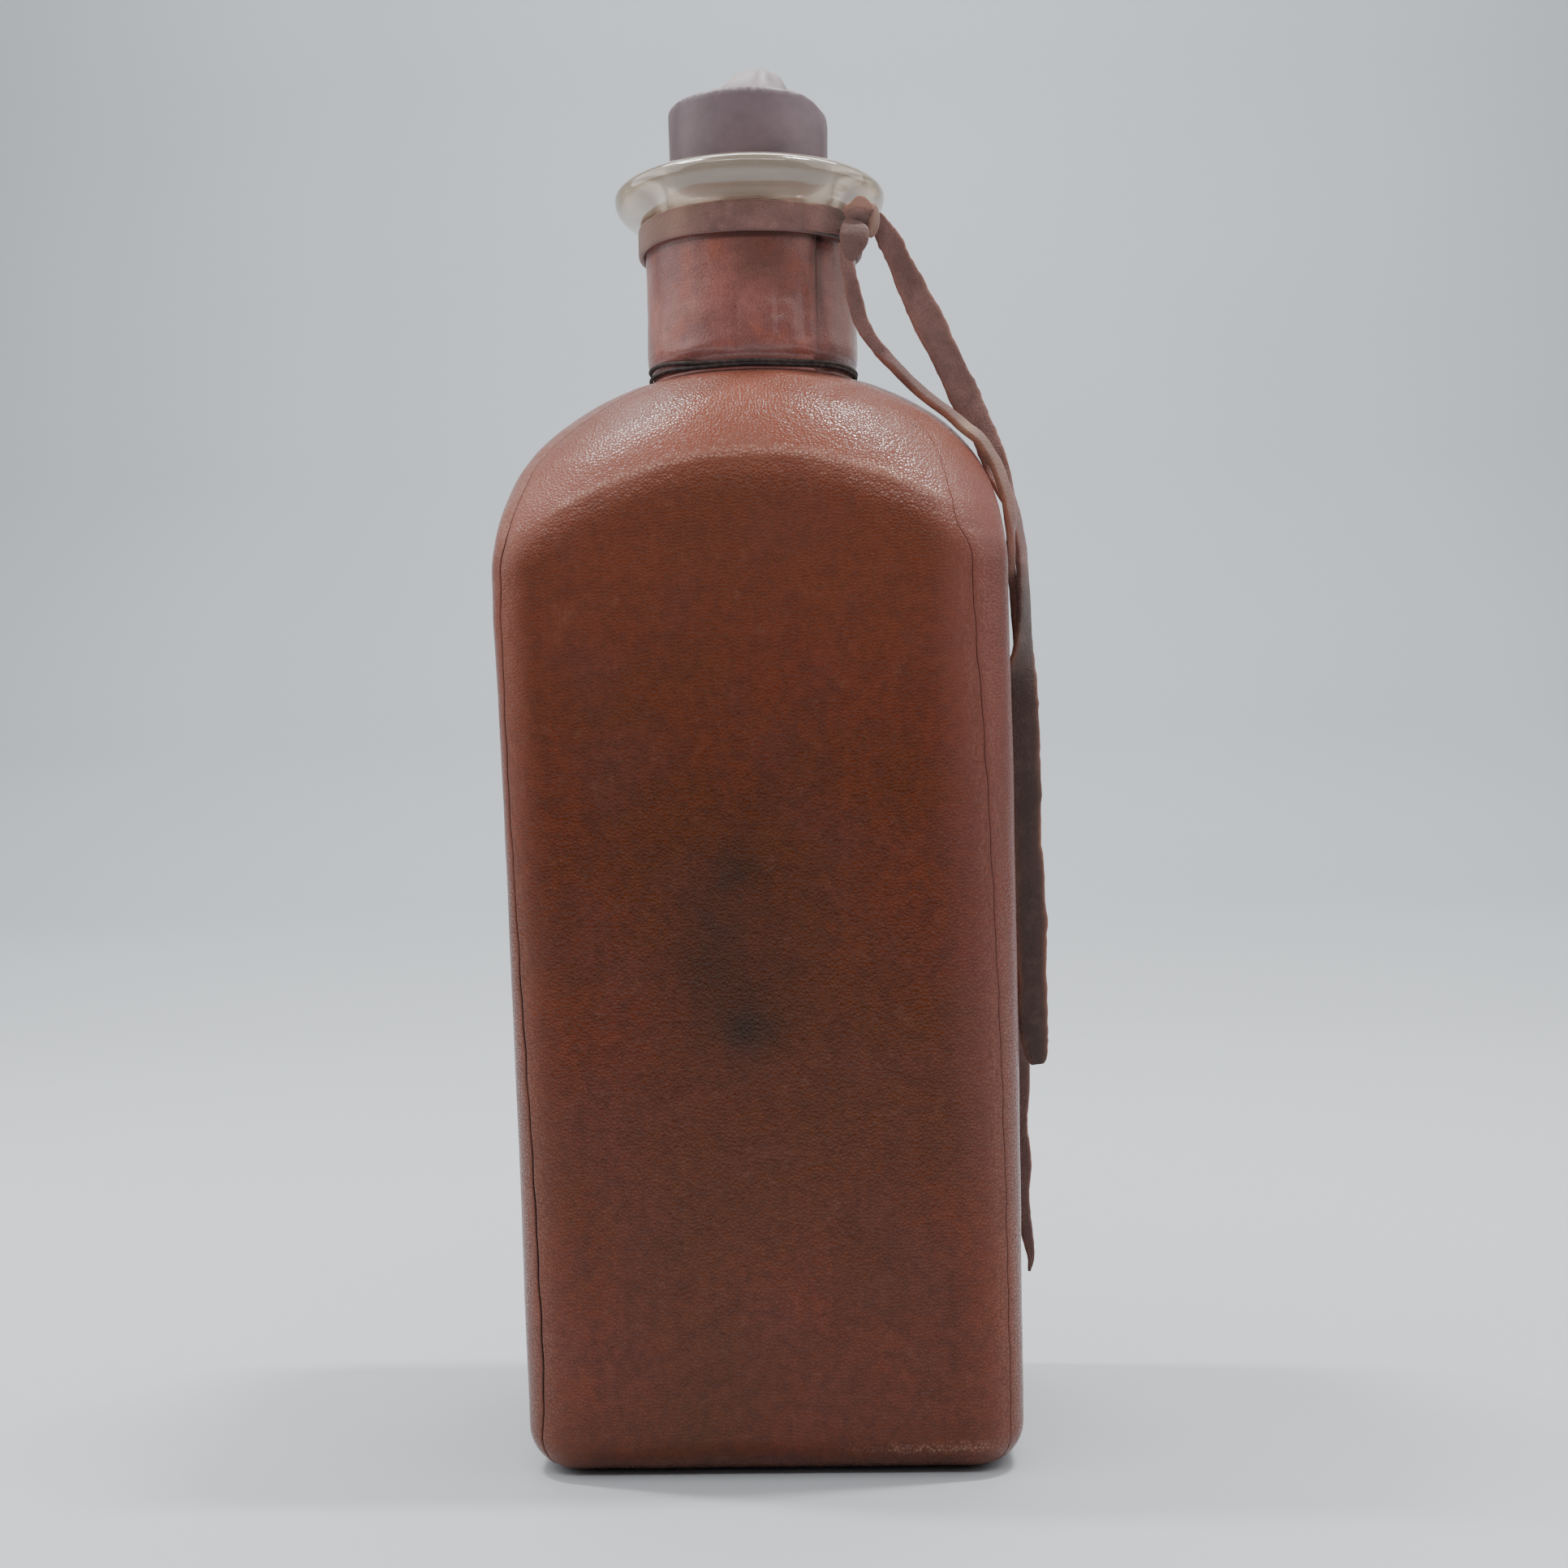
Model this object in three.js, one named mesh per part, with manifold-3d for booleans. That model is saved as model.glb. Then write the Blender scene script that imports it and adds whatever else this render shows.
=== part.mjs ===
// Leather-covered glass flask: a rounded-square glass bottle with a solid glass stopper, dressed in
// sewn leather, bound at the foot of the neck with cord and tied under the lip with a leather thong.
// Millimetres, +Z up, origin in the middle of the base. The front of the flask faces -Y.

import * as THREE from 'three';
import { mergeVertices } from 'three/addons/utils/BufferGeometryUtils.js';
import Module from 'manifold-3d';

const wasm = await Module();
wasm.setup();

// Fits
const FIT = 0.3;
const SEAM_GAP = 0.3;

// Leather covering
const LEATHER = 1.7;
const PANEL_RISE = 1.1;
const SEAM_INSET = 3.2;
const GUSSET_HALF_AT_NECK = 7;
const GUSSET_NARROWING = 17;
const GUSSET_NECK_REACH = 11;
const GUSSET_NECK_DROP = 8.5;
const BASE_SEAM_INSET = 9.4;
const PANEL_LIFT = 0.3;
const THREAD_DIAMETER = 0.8;
const THREAD_DEPTH = 0.3;
const SEAM_VALLEY = 1.9;

// Glass body, measured on the glass
const BODY_WIDTH_TOP = 81.8;
const BODY_WIDTH_BASE = 77.8;
const BODY_DEPTH = 62;
const CORNER_RADIUS = 6.5;
const FOOT_ROUND = 5.4;
const BODY_HEIGHT = 146;
const WALL = 3.2;
const FOOT_THICKNESS = 6;

// Shoulder, from the end of the straight body to the neck
const SHOULDER_HEIGHT = 34.2;
const SIDE_RISE = 22.5;
const SIDE_NECK_FLARE = 16.5;
const SIDE_NECK_DROP = 5.4;
const FRONT_STRAIGHT = 10;
const FRONT_RISE = 12;
const FRONT_NECK_FLARE = 7.5;
const FRONT_NECK_DROP = 4.5;
const FLAT_FADE = 26;

// Neck and lip
const NECK_RADIUS = 16.75;
const NECK_LENGTH = 28.3;
const LIP_RADIUS = 24;
const LIP_UNDERSIDE = 5.8;
const LIP_CROWN = 4.3;
const LIP_CROWN_RADIUS = 18;

// Stopper
const PLUG_TOP_RADIUS = 14;
const PLUG_END_RADIUS = 12.6;
const PLUG_LENGTH = 27.5;
const PLUG_END_BEVEL = 0.8;
const STOPPER_SHOWING = 11.7;
const STOPPER_RIM_RADIUS = 14.2;
const STOPPER_RIM_ROUND = 0.9;
const STOPPER_CONE = 7.7;
const STOPPER_TIP_RADIUS = 1.4;
const STOPPER_TIP_ROUND = 0.5;

// Neck binding: cord wound round the foot of the neck, tied at the back
const BINDING_TURNS = 2;
const BINDING_DIAMETER = 1.1;
const BINDING_PITCH = 1.6;
const BINDING_KNOT_WIDTH = 2.6;
const BINDING_KNOT_DEPTH = 2.4;
const BINDING_KNOT_HEIGHT = 5.2;

// Neck sleeve and thong
const LAP_ANGLE = 40;
const BAND_HEIGHT = 5.2;
const THONG = 1.3;
const KNOT_ANGLE = 48;
const KNOT_WIDTH = 5.4;
const KNOT_DEPTH = 4.4;
const KNOT_HEIGHT = 7.6;
const KNOT_WRAP = 1.8;
const KNOT_WRAP_HEIGHT = 4.4;
const FLAP_WIDTH = 4.8;
const FLAP_HEIGHT = 6.6;
const TAB_WIDTH = 4.6;
const TAB_HEIGHT = 3.6;
const TAB_LEAN = 38;
const TAIL_THICKNESS = 1.5;
const WIDE_ROOT_RADIUS = 1.5;
const NARROW_ROOT_RADIUS = 1;

// Facets
const CORNER_STEPS = 6;
const FOOT_STEPS = 3;
const SHOULDER_STEPS = 9;
const LIP_STEPS = 4;
const PROFILE_STEPS = 40;
const CORD_SIDES = 6;
const ROOT_ANGLES = [75, 60, 30];
const GAP_SAMPLES = 6;
const GAP_NEIGHBOURS = 4;

// Heights and fits that follow from the sizes above
const COVER = FIT + LEATHER;
const SHOULDER_START = COVER + BODY_HEIGHT;
const NECK_BASE = SHOULDER_START + SHOULDER_HEIGHT;
const LIP_BOTTOM = NECK_BASE + NECK_LENGTH;
const LIP_BELLY = LIP_BOTTOM + LIP_UNDERSIDE;
const LIP_TOP = LIP_BELLY + LIP_CROWN;
const PLUG_END = LIP_TOP - PLUG_LENGTH;
const SLEEVE_RADIUS = NECK_RADIUS + COVER;
const HALF_DEPTH = BODY_DEPTH / 2 + COVER;
const PANEL_TOP = NECK_BASE + PANEL_RISE;
const SLEEVE_BOTTOM = PANEL_TOP + FIT;
const BAND_TOP = LIP_BOTTOM - FIT;
const BAND_RADIUS = SLEEVE_RADIUS + FIT + THONG;
const KNOT_INNER = BAND_RADIUS + FIT;
const FAR = 400;
const OVERCUT = 1;

// Facets are drawn round the true curve, so that flats and fits keep their sizes.
const SIDES = 4 * CORNER_STEPS;
const FACET_SPREAD = 1 / Math.cos(Math.PI / SIDES);

// Points of a half-profile: straight up from the foot, then along the shoulder curve, moved outwards.
function profilePoints(baseHalf, shoulder, outwards) {
  const points = [new THREE.Vector2(baseHalf + outwards, 0)];
  for (let i = 0; i <= PROFILE_STEPS; i += 1) {
    const t = i / PROFILE_STEPS;
    const point = shoulder.getPoint(t);
    const along = shoulder.getTangent(t);
    points.push(new THREE.Vector2(point.x + outwards * along.y, point.y - outwards * along.x));
  }
  return points;
}

// The half-size that a list of (half-size, height) points gives at height z.
function halfAt(points, z) {
  for (let i = 1; i < points.length; i += 1) {
    if (z <= points[i].y) {
      const t = (z - points[i - 1].y) / (points[i].y - points[i - 1].y);
      return THREE.MathUtils.lerp(points[i - 1].x, points[i].x, t);
    }
  }
  return points[points.length - 1].x;
}

const sideShoulder = new THREE.CubicBezierCurve(
  new THREE.Vector2(BODY_WIDTH_TOP / 2, SHOULDER_START),
  new THREE.Vector2(BODY_WIDTH_TOP / 2, SHOULDER_START + SIDE_RISE),
  new THREE.Vector2(NECK_RADIUS + SIDE_NECK_FLARE, NECK_BASE - SIDE_NECK_DROP),
  new THREE.Vector2(NECK_RADIUS, NECK_BASE),
);

const frontShoulder = new THREE.CubicBezierCurve(
  new THREE.Vector2(BODY_DEPTH / 2, SHOULDER_START + FRONT_STRAIGHT),
  new THREE.Vector2(BODY_DEPTH / 2, SHOULDER_START + FRONT_STRAIGHT + FRONT_RISE),
  new THREE.Vector2(NECK_RADIUS + FRONT_NECK_FLARE, NECK_BASE - FRONT_NECK_DROP),
  new THREE.Vector2(NECK_RADIUS, NECK_BASE),
);

// Half the width of the side gussets, which narrow over the shoulder towards the neck.
const gussetEdge = new THREE.CubicBezierCurve(
  new THREE.Vector2(HALF_DEPTH - SEAM_INSET, SHOULDER_START),
  new THREE.Vector2(HALF_DEPTH - SEAM_INSET, SHOULDER_START + GUSSET_NARROWING),
  new THREE.Vector2(GUSSET_HALF_AT_NECK + GUSSET_NECK_REACH, PANEL_TOP - GUSSET_NECK_DROP),
  new THREE.Vector2(GUSSET_HALF_AT_NECK, PANEL_TOP),
);
const gussetPoints = profilePoints(HALF_DEPTH - SEAM_INSET, gussetEdge, 0);

// Rounded-rectangle section of the flask at height z, at a distance outside (or inside) the glass.
function bodySection(z, outwards) {
  const side = profilePoints(BODY_WIDTH_BASE / 2, sideShoulder, outwards);
  const front = profilePoints(BODY_DEPTH / 2, frontShoulder, outwards);
  const glass = profilePoints(BODY_WIDTH_BASE / 2, sideShoulder, 0);
  const flatHalf = halfAt(glass, Math.min(z, SHOULDER_START)) - CORNER_RADIUS;
  const sideFade = 1 - THREE.MathUtils.smoothstep(z, SHOULDER_START, NECK_BASE);
  const frontFade = 1 - THREE.MathUtils.smoothstep(z, SHOULDER_START, SHOULDER_START + FLAT_FADE);
  return {
    z,
    halfX: Math.max(halfAt(side, z), NECK_RADIUS + outwards),
    halfY: Math.max(halfAt(front, z), NECK_RADIUS + outwards),
    flatX: flatHalf * frontFade,
    flatY: (BODY_DEPTH / 2 - CORNER_RADIUS) * sideFade,
  };
}

function roundSection(z, radius) {
  return { z, halfX: radius, halfY: radius, flatX: 0, flatY: 0 };
}

// Sections of a foot that stands at footZ and is rounded up into the body.
function footSections(footZ, round, outwards) {
  const sections = [];
  for (let i = 0; i <= FOOT_STEPS; i += 1) {
    const angle = (i / FOOT_STEPS) * (Math.PI / 2);
    const z = footZ + round * (1 - Math.cos(angle));
    const inset = round * (1 - Math.sin(angle));
    const section = bodySection(z, outwards);
    sections.push({ ...section, halfX: section.halfX - inset, halfY: section.halfY - inset });
  }
  return sections;
}

function shoulderSections(top, outwards) {
  const sections = [];
  for (let i = 0; i <= SHOULDER_STEPS; i += 1) {
    sections.push(bodySection(THREE.MathUtils.lerp(SHOULDER_START, top, i / SHOULDER_STEPS), outwards));
  }
  return sections;
}

function ringPoints(section) {
  const points = [];
  for (let i = 0; i < SIDES; i += 1) {
    const angle = ((i + 0.5) * 2 * Math.PI) / SIDES;
    const across = Math.cos(angle);
    const deep = Math.sin(angle);
    points.push(new THREE.Vector3(
      Math.sign(across) * section.flatX + (section.halfX - section.flatX) * FACET_SPREAD * across,
      Math.sign(deep) * section.flatY + (section.halfY - section.flatY) * FACET_SPREAD * deep,
      section.z,
    ));
  }
  return points;
}

// Closed skin over a stack of rings that all have the same number of points.
function skin(rings) {
  const count = rings[0].length;
  const positions = rings.flat().flatMap((point) => point.toArray());
  const index = [];
  for (let level = 0; level < rings.length - 1; level += 1) {
    for (let i = 0; i < count; i += 1) {
      const here = level * count + i;
      const next = level * count + ((i + 1) % count);
      index.push(here, next, next + count, here, next + count, here + count);
    }
  }
  const capCentre = (ring) => ring.reduce((sum, p) => sum.add(p), new THREE.Vector3()).divideScalar(count);
  const lowCentre = rings.length * count;
  const lastRing = (rings.length - 1) * count;
  positions.push(...capCentre(rings[0]).toArray(), ...capCentre(rings[rings.length - 1]).toArray());
  for (let i = 0; i < count; i += 1) {
    const next = (i + 1) % count;
    index.push(lowCentre, next, i);
    index.push(lowCentre + 1, lastRing + i, lastRing + next);
  }
  const geometry = new THREE.BufferGeometry();
  geometry.setAttribute('position', new THREE.Float32BufferAttribute(positions, 3));
  geometry.setIndex(index);
  return geometry;
}

function loft(sections) {
  return skin(sections.map(ringPoints));
}

function toSolid(geometry) {
  const bare = geometry.clone();
  bare.deleteAttribute('normal');
  bare.deleteAttribute('uv');
  const merged = mergeVertices(bare);
  return new wasm.Manifold(new wasm.Mesh({
    numProp: 3,
    vertProperties: new Float32Array(merged.attributes.position.array),
    triVerts: new Uint32Array(merged.index.array),
  }));
}

function toGeometry(solid) {
  const mesh = solid.getMesh();
  const geometry = new THREE.BufferGeometry();
  geometry.setAttribute('position', new THREE.BufferAttribute(new Float32Array(mesh.vertProperties), 3));
  geometry.setIndex(new THREE.BufferAttribute(new Uint32Array(mesh.triVerts), 1));
  return geometry;
}

function loftSolid(sections) {
  return toSolid(loft(sections));
}

function boxSolid(low, high) {
  const size = new THREE.Vector3().subVectors(high, low);
  const middle = new THREE.Vector3().addVectors(high, low).multiplyScalar(0.5);
  const box = new THREE.BoxGeometry(size.x, size.y, size.z);
  return toSolid(box.translate(middle.x, middle.y, middle.z));
}

// A round tube whose rings stand on the points of a route.
class Route extends THREE.Curve {
  constructor(points) {
    super();
    this.points = points;
  }

  getPoint(t, target = new THREE.Vector3()) {
    const place = THREE.MathUtils.clamp(t, 0, 1) * (this.points.length - 1);
    const start = Math.min(Math.floor(place), this.points.length - 2);
    return target.copy(this.points[start]).lerp(this.points[start + 1], place - start);
  }

  getPointAt(u, target) {
    return this.getPoint(u, target);
  }

  getTangentAt(u, target = new THREE.Vector3()) {
    const step = 0.5 / (this.points.length - 1);
    return target.copy(this.getPoint(u + step)).sub(this.getPoint(u - step)).normalize();
  }
}

function tube(points, diameter, sides) {
  const section = new THREE.Shape();
  for (let i = 0; i < sides; i += 1) {
    const angle = (i * 2 * Math.PI) / sides;
    const x = (diameter / 2) * Math.cos(angle);
    const y = (diameter / 2) * Math.sin(angle);
    if (i === 0) section.moveTo(x, y);
    else section.lineTo(x, y);
  }
  section.closePath();
  const options = { steps: points.length - 1, extrudePath: new Route(points), bevelEnabled: false };
  return new THREE.ExtrudeGeometry(section, options);
}

// Glass

function glassBottle() {
  const outside = [...footSections(COVER, FOOT_ROUND, 0), ...shoulderSections(NECK_BASE, 0)];
  const lowerArc = LIP_RADIUS - NECK_RADIUS;
  for (let i = 0; i <= LIP_STEPS; i += 1) {
    const angle = (i / LIP_STEPS) * (Math.PI / 2);
    outside.push(roundSection(
      LIP_BELLY - LIP_UNDERSIDE * Math.cos(angle),
      NECK_RADIUS + lowerArc * Math.sin(angle),
    ));
  }
  const upperArc = LIP_RADIUS - LIP_CROWN_RADIUS;
  for (let i = 1; i <= LIP_STEPS; i += 1) {
    const angle = (i / LIP_STEPS) * (Math.PI / 2);
    outside.push(roundSection(
      LIP_BELLY + LIP_CROWN * Math.sin(angle),
      LIP_CROWN_RADIUS + upperArc * Math.cos(angle),
    ));
  }
  const innerFoot = COVER + FOOT_THICKNESS;
  const boreEnd = PLUG_END_RADIUS + FIT;
  const boreTop = PLUG_TOP_RADIUS + FIT;
  const inside = [...footSections(innerFoot, FOOT_ROUND / 2, -WALL), ...shoulderSections(NECK_BASE, -WALL)];
  inside.push(roundSection(PLUG_END - FIT, boreEnd));
  inside.push(roundSection(LIP_TOP, boreTop));
  inside.push(roundSection(LIP_TOP + OVERCUT, boreTop));
  return toGeometry(loftSolid(outside).subtract(loftSolid(inside)));
}

function glassStopper() {
  const rim = LIP_TOP + STOPPER_SHOWING;
  return loft([
    roundSection(PLUG_END, PLUG_END_RADIUS - PLUG_END_BEVEL),
    roundSection(PLUG_END + PLUG_END_BEVEL, PLUG_END_RADIUS),
    roundSection(LIP_TOP, PLUG_TOP_RADIUS),
    roundSection(rim - STOPPER_RIM_ROUND, STOPPER_RIM_RADIUS),
    roundSection(rim, STOPPER_RIM_RADIUS - STOPPER_RIM_ROUND),
    roundSection(rim + STOPPER_CONE - STOPPER_TIP_ROUND, STOPPER_TIP_RADIUS),
    roundSection(rim + STOPPER_CONE, STOPPER_TIP_RADIUS - STOPPER_TIP_ROUND),
  ]);
}

// Leather covering

function leatherShell() {
  const outside = loftSolid([
    ...footSections(0, FOOT_ROUND + COVER, COVER),
    ...shoulderSections(PANEL_TOP, COVER),
  ]);
  const inside = loftSolid([
    ...footSections(LEATHER, FOOT_ROUND + FIT, FIT),
    ...shoulderSections(PANEL_TOP, FIT),
    roundSection(PANEL_TOP + OVERCUT, NECK_RADIUS + FIT),
  ]);
  const aboveFloor = boxSolid(new THREE.Vector3(-FAR, -FAR, PANEL_LIFT), new THREE.Vector3(FAR, FAR, FAR));
  return outside.subtract(inside).intersect(aboveFloor);
}

// The slice of the flask that the two gussets cover, made wider or narrower by grow on each side.
function gussetSlice(grow) {
  const heights = [-OVERCUT, SHOULDER_START];
  for (let i = 1; i <= SHOULDER_STEPS; i += 1) {
    heights.push(THREE.MathUtils.lerp(SHOULDER_START, PANEL_TOP, i / SHOULDER_STEPS));
  }
  heights.push(PANEL_TOP + OVERCUT);
  const edge = heights.map((z) => new THREE.Vector2(halfAt(gussetPoints, z) + grow, z));
  const mirrored = edge.map((p) => new THREE.Vector2(-p.x, p.y)).reverse();
  const shape = new THREE.Shape([...edge, ...mirrored]);
  const slice = new THREE.ExtrudeGeometry(shape, { depth: 2 * FAR, bevelEnabled: false });
  const acrossFlask = new THREE.Matrix4().makeBasis(
    new THREE.Vector3(0, 1, 0),
    new THREE.Vector3(0, 0, 1),
    new THREE.Vector3(1, 0, 0),
  );
  return toSolid(slice.applyMatrix4(acrossFlask).translate(-FAR, 0, 0));
}

// Outline of the base panel, grown outwards, between two heights.
function baseOutline(grow, low, high) {
  const foot = bodySection(0, COVER);
  const section = {
    halfX: foot.halfX - BASE_SEAM_INSET + grow,
    halfY: foot.halfY - BASE_SEAM_INSET + grow,
    flatX: foot.flatX - BASE_SEAM_INSET,
    flatY: foot.flatY - BASE_SEAM_INSET,
  };
  return loftSolid([{ ...section, z: low }, { ...section, z: high }]);
}

// Square-cut ring of thread in the base seam, grown by its clearance when it cuts its groove.
function baseThreadRing(grow) {
  const half = THREAD_DIAMETER / 2 + grow;
  const middle = LEATHER / 2;
  const outer = baseOutline(SEAM_GAP / 2 + half, middle - half, middle + half);
  const inner = baseOutline(SEAM_GAP / 2 - half, middle - half - OVERCUT, middle + half + OVERCUT);
  return outer.subtract(inner);
}

// The seam line at height z, where side is 1 to the right and face is -1 at the front.
function seamPoint(z, side, face) {
  const deep = halfAt(gussetPoints, z);
  const section = bodySection(z, COVER - THREAD_DEPTH);
  const lift = (deep - section.flatY) / (section.halfY - section.flatY);
  const round = Math.sqrt(Math.max(0, 1 - Math.max(0, lift) ** 2));
  return new THREE.Vector3(side * (section.flatX + (section.halfX - section.flatX) * round), face * deep, z);
}

function seamRoute(side, face) {
  const low = FOOT_ROUND + COVER;
  const top = PANEL_TOP - THREAD_DIAMETER;
  const points = [seamPoint(low, side, face)];
  for (let i = 0; i <= SHOULDER_STEPS; i += 1) {
    points.push(seamPoint(THREE.MathUtils.lerp(SHOULDER_START, top, i / SHOULDER_STEPS), side, face));
  }
  return points;
}

// The valley between two rolled edges that a seam thread lies in, a little longer than the thread.
function seamGroove(side, face) {
  const points = seamRoute(side, face);
  const last = points.length - 1;
  const ends = new THREE.Vector3();
  points[0].add(ends.subVectors(points[0], points[1]).setLength(FIT));
  points[last].add(ends.subVectors(points[last], points[last - 1]).setLength(FIT));
  return toSolid(tube(points, SEAM_VALLEY, CORD_SIDES));
}

const SEAMS = [
  { name: 'front_left_seam_thread', side: -1, face: -1 },
  { name: 'front_right_seam_thread', side: 1, face: -1 },
  { name: 'back_left_seam_thread', side: -1, face: 1 },
  { name: 'back_right_seam_thread', side: 1, face: 1 },
];

function cutGrooves(piece) {
  const grooves = SEAMS.map((seam) => seamGroove(seam.side, seam.face));
  const cut = grooves.reduce((left, groove) => left.subtract(groove), piece);
  return cut.subtract(baseThreadRing(FIT));
}

const openShell = leatherShell().subtract(baseOutline(SEAM_GAP, -OVERCUT, LEATHER + OVERCUT));

// The side of the flask that a gusset covers: the gussets' slice, ending in mitres under the foot.
function gussetRegion(side, grow) {
  const mitre = (BODY_WIDTH_BASE - BODY_DEPTH) / 2 - grow * Math.SQRT2;
  const wedge = new THREE.Shape();
  wedge.moveTo(side * mitre, 0);
  wedge.lineTo(side * (mitre + FAR), -side * FAR);
  wedge.lineTo(side * (mitre + FAR), side * FAR);
  const prism = new THREE.ExtrudeGeometry(wedge, { depth: 2 * FAR, bevelEnabled: false }).translate(0, 0, -FAR);
  return gussetSlice(grow).intersect(toSolid(prism));
}

function facePanel(face) {
  const low = new THREE.Vector3(-FAR, Math.min(0, face * FAR), -FAR);
  const high = new THREE.Vector3(FAR, Math.max(0, face * FAR), FAR);
  const sides = gussetRegion(-1, SEAM_GAP / 2).add(gussetRegion(1, SEAM_GAP / 2));
  return toGeometry(cutGrooves(openShell.subtract(sides).intersect(boxSolid(low, high))));
}

function sideGusset(side) {
  return toGeometry(cutGrooves(openShell.intersect(gussetRegion(side, -SEAM_GAP / 2))));
}

function basePanel() {
  return toGeometry(baseOutline(0, 0, LEATHER).subtract(baseThreadRing(FIT)));
}

// Neck

// A strip wound once round the neck, with a slit left open at an angle from the front to the right.
function neckStrip(inner, outer, low, high, slit, angle) {
  const outside = loftSolid([roundSection(low, outer), roundSection(high, outer)]);
  const inside = loftSolid([roundSection(low - OVERCUT, inner), roundSection(high + OVERCUT, inner)]);
  const gap = new THREE.BoxGeometry(2 * outer, slit, high - low + 2 * OVERCUT);
  gap.translate(outer, 0, (low + high) / 2).rotateZ(THREE.MathUtils.degToRad(angle - 90));
  return toGeometry(outside.subtract(inside).subtract(toSolid(gap)));
}

function neckSleeve() {
  return neckStrip(NECK_RADIUS + FIT, SLEEVE_RADIUS, SLEEVE_BOTTOM, BAND_TOP, SEAM_GAP, LAP_ANGLE);
}

function thongBand() {
  const low = BAND_TOP - BAND_HEIGHT;
  return neckStrip(SLEEVE_RADIUS + FIT, BAND_RADIUS, low, BAND_TOP, 2 * THONG, KNOT_ANGLE);
}

const BINDING_LOW = SLEEVE_BOTTOM + FIT + BINDING_DIAMETER / 2;
const BINDING_RADIUS = SLEEVE_RADIUS + FIT + BINDING_DIAMETER / 2;
const BINDING_MIDDLE = BINDING_LOW + (BINDING_TURNS * BINDING_PITCH) / 2;
const BINDING_KNOT_INNER = BINDING_RADIUS + BINDING_DIAMETER / 2 + FIT;

// The winding climbs steadily from one side of its knot to the other. Its first and last steps
// rise off the neck, and its ends run straight into the sides of the knot.
function bindingRoute() {
  const steps = BINDING_TURNS * SIDES;
  const rise = BINDING_KNOT_INNER + BINDING_KNOT_DEPTH / 2 - BINDING_RADIUS;
  const points = [];
  for (let i = 0; i < steps; i += 1) {
    const angle = Math.PI / 2 + ((i + 0.5) * 2 * Math.PI) / SIDES;
    const fromEnd = Math.min(i, steps - 1 - i);
    const lift = fromEnd === 0 ? rise : fromEnd === 1 ? rise / 2 : 0;
    const radius = (BINDING_RADIUS + lift) * FACET_SPREAD;
    const z = BINDING_LOW + (BINDING_PITCH * (i + 0.5)) / SIDES;
    points.push(new THREE.Vector3(radius * Math.cos(angle), radius * Math.sin(angle), z));
  }
  const stop = BINDING_KNOT_WIDTH / 2 + FIT;
  const first = points[0].clone().setX(-stop);
  const last = points[points.length - 1].clone().setX(stop);
  return [first, ...points, last];
}

// Least clear distance between stretches of a winding that are not neighbours along it.
function leastGap(points, diameter) {
  const curve = new Route(points);
  const samples = curve.getPoints(points.length * GAP_SAMPLES);
  const apart = GAP_SAMPLES * GAP_NEIGHBOURS;
  let least = Infinity;
  for (let i = 0; i < samples.length; i += 1) {
    for (let j = i + apart; j < samples.length; j += 1) {
      least = Math.min(least, samples[i].distanceTo(samples[j]) - diameter);
    }
  }
  return least;
}

function neckBinding() {
  const points = bindingRoute();
  console.log(`neck_binding least gap to itself ${leastGap(points, BINDING_DIAMETER).toFixed(2)} mm`);
  return tube(points, BINDING_DIAMETER, CORD_SIDES);
}

// A block with rounded corners, seen from outside the neck: wide along X, high along Z, deep along +Y.
function roundedBlock(width, height, depth, round) {
  const shape = new THREE.Shape();
  const x = width / 2 - round;
  const y = height / 2 - round;
  shape.absarc(x, y, round, 0, Math.PI / 2);
  shape.absarc(-x, y, round, Math.PI / 2, Math.PI);
  shape.absarc(-x, -y, round, Math.PI, 1.5 * Math.PI);
  shape.absarc(x, -y, round, 1.5 * Math.PI, 2 * Math.PI);
  const options = { depth, bevelEnabled: false, curveSegments: 3 };
  return new THREE.ExtrudeGeometry(shape, options).rotateX(Math.PI / 2).translate(0, depth, 0);
}

function bindingKnot() {
  const block = roundedBlock(BINDING_KNOT_WIDTH, BINDING_KNOT_HEIGHT, BINDING_KNOT_DEPTH, BINDING_KNOT_WIDTH / 3);
  return block.translate(0, BINDING_KNOT_INNER, BINDING_MIDDLE);
}

// Thong

// Turns a piece that was drawn outside the neck towards +Y round to the knot's place.
function turnToKnot(geometry) {
  return geometry.rotateZ(THREE.MathUtils.degToRad(KNOT_ANGLE + 180));
}

const KNOT_TOP = BAND_TOP - FIT;
const KNOT_BOTTOM = KNOT_TOP - KNOT_HEIGHT;

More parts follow.
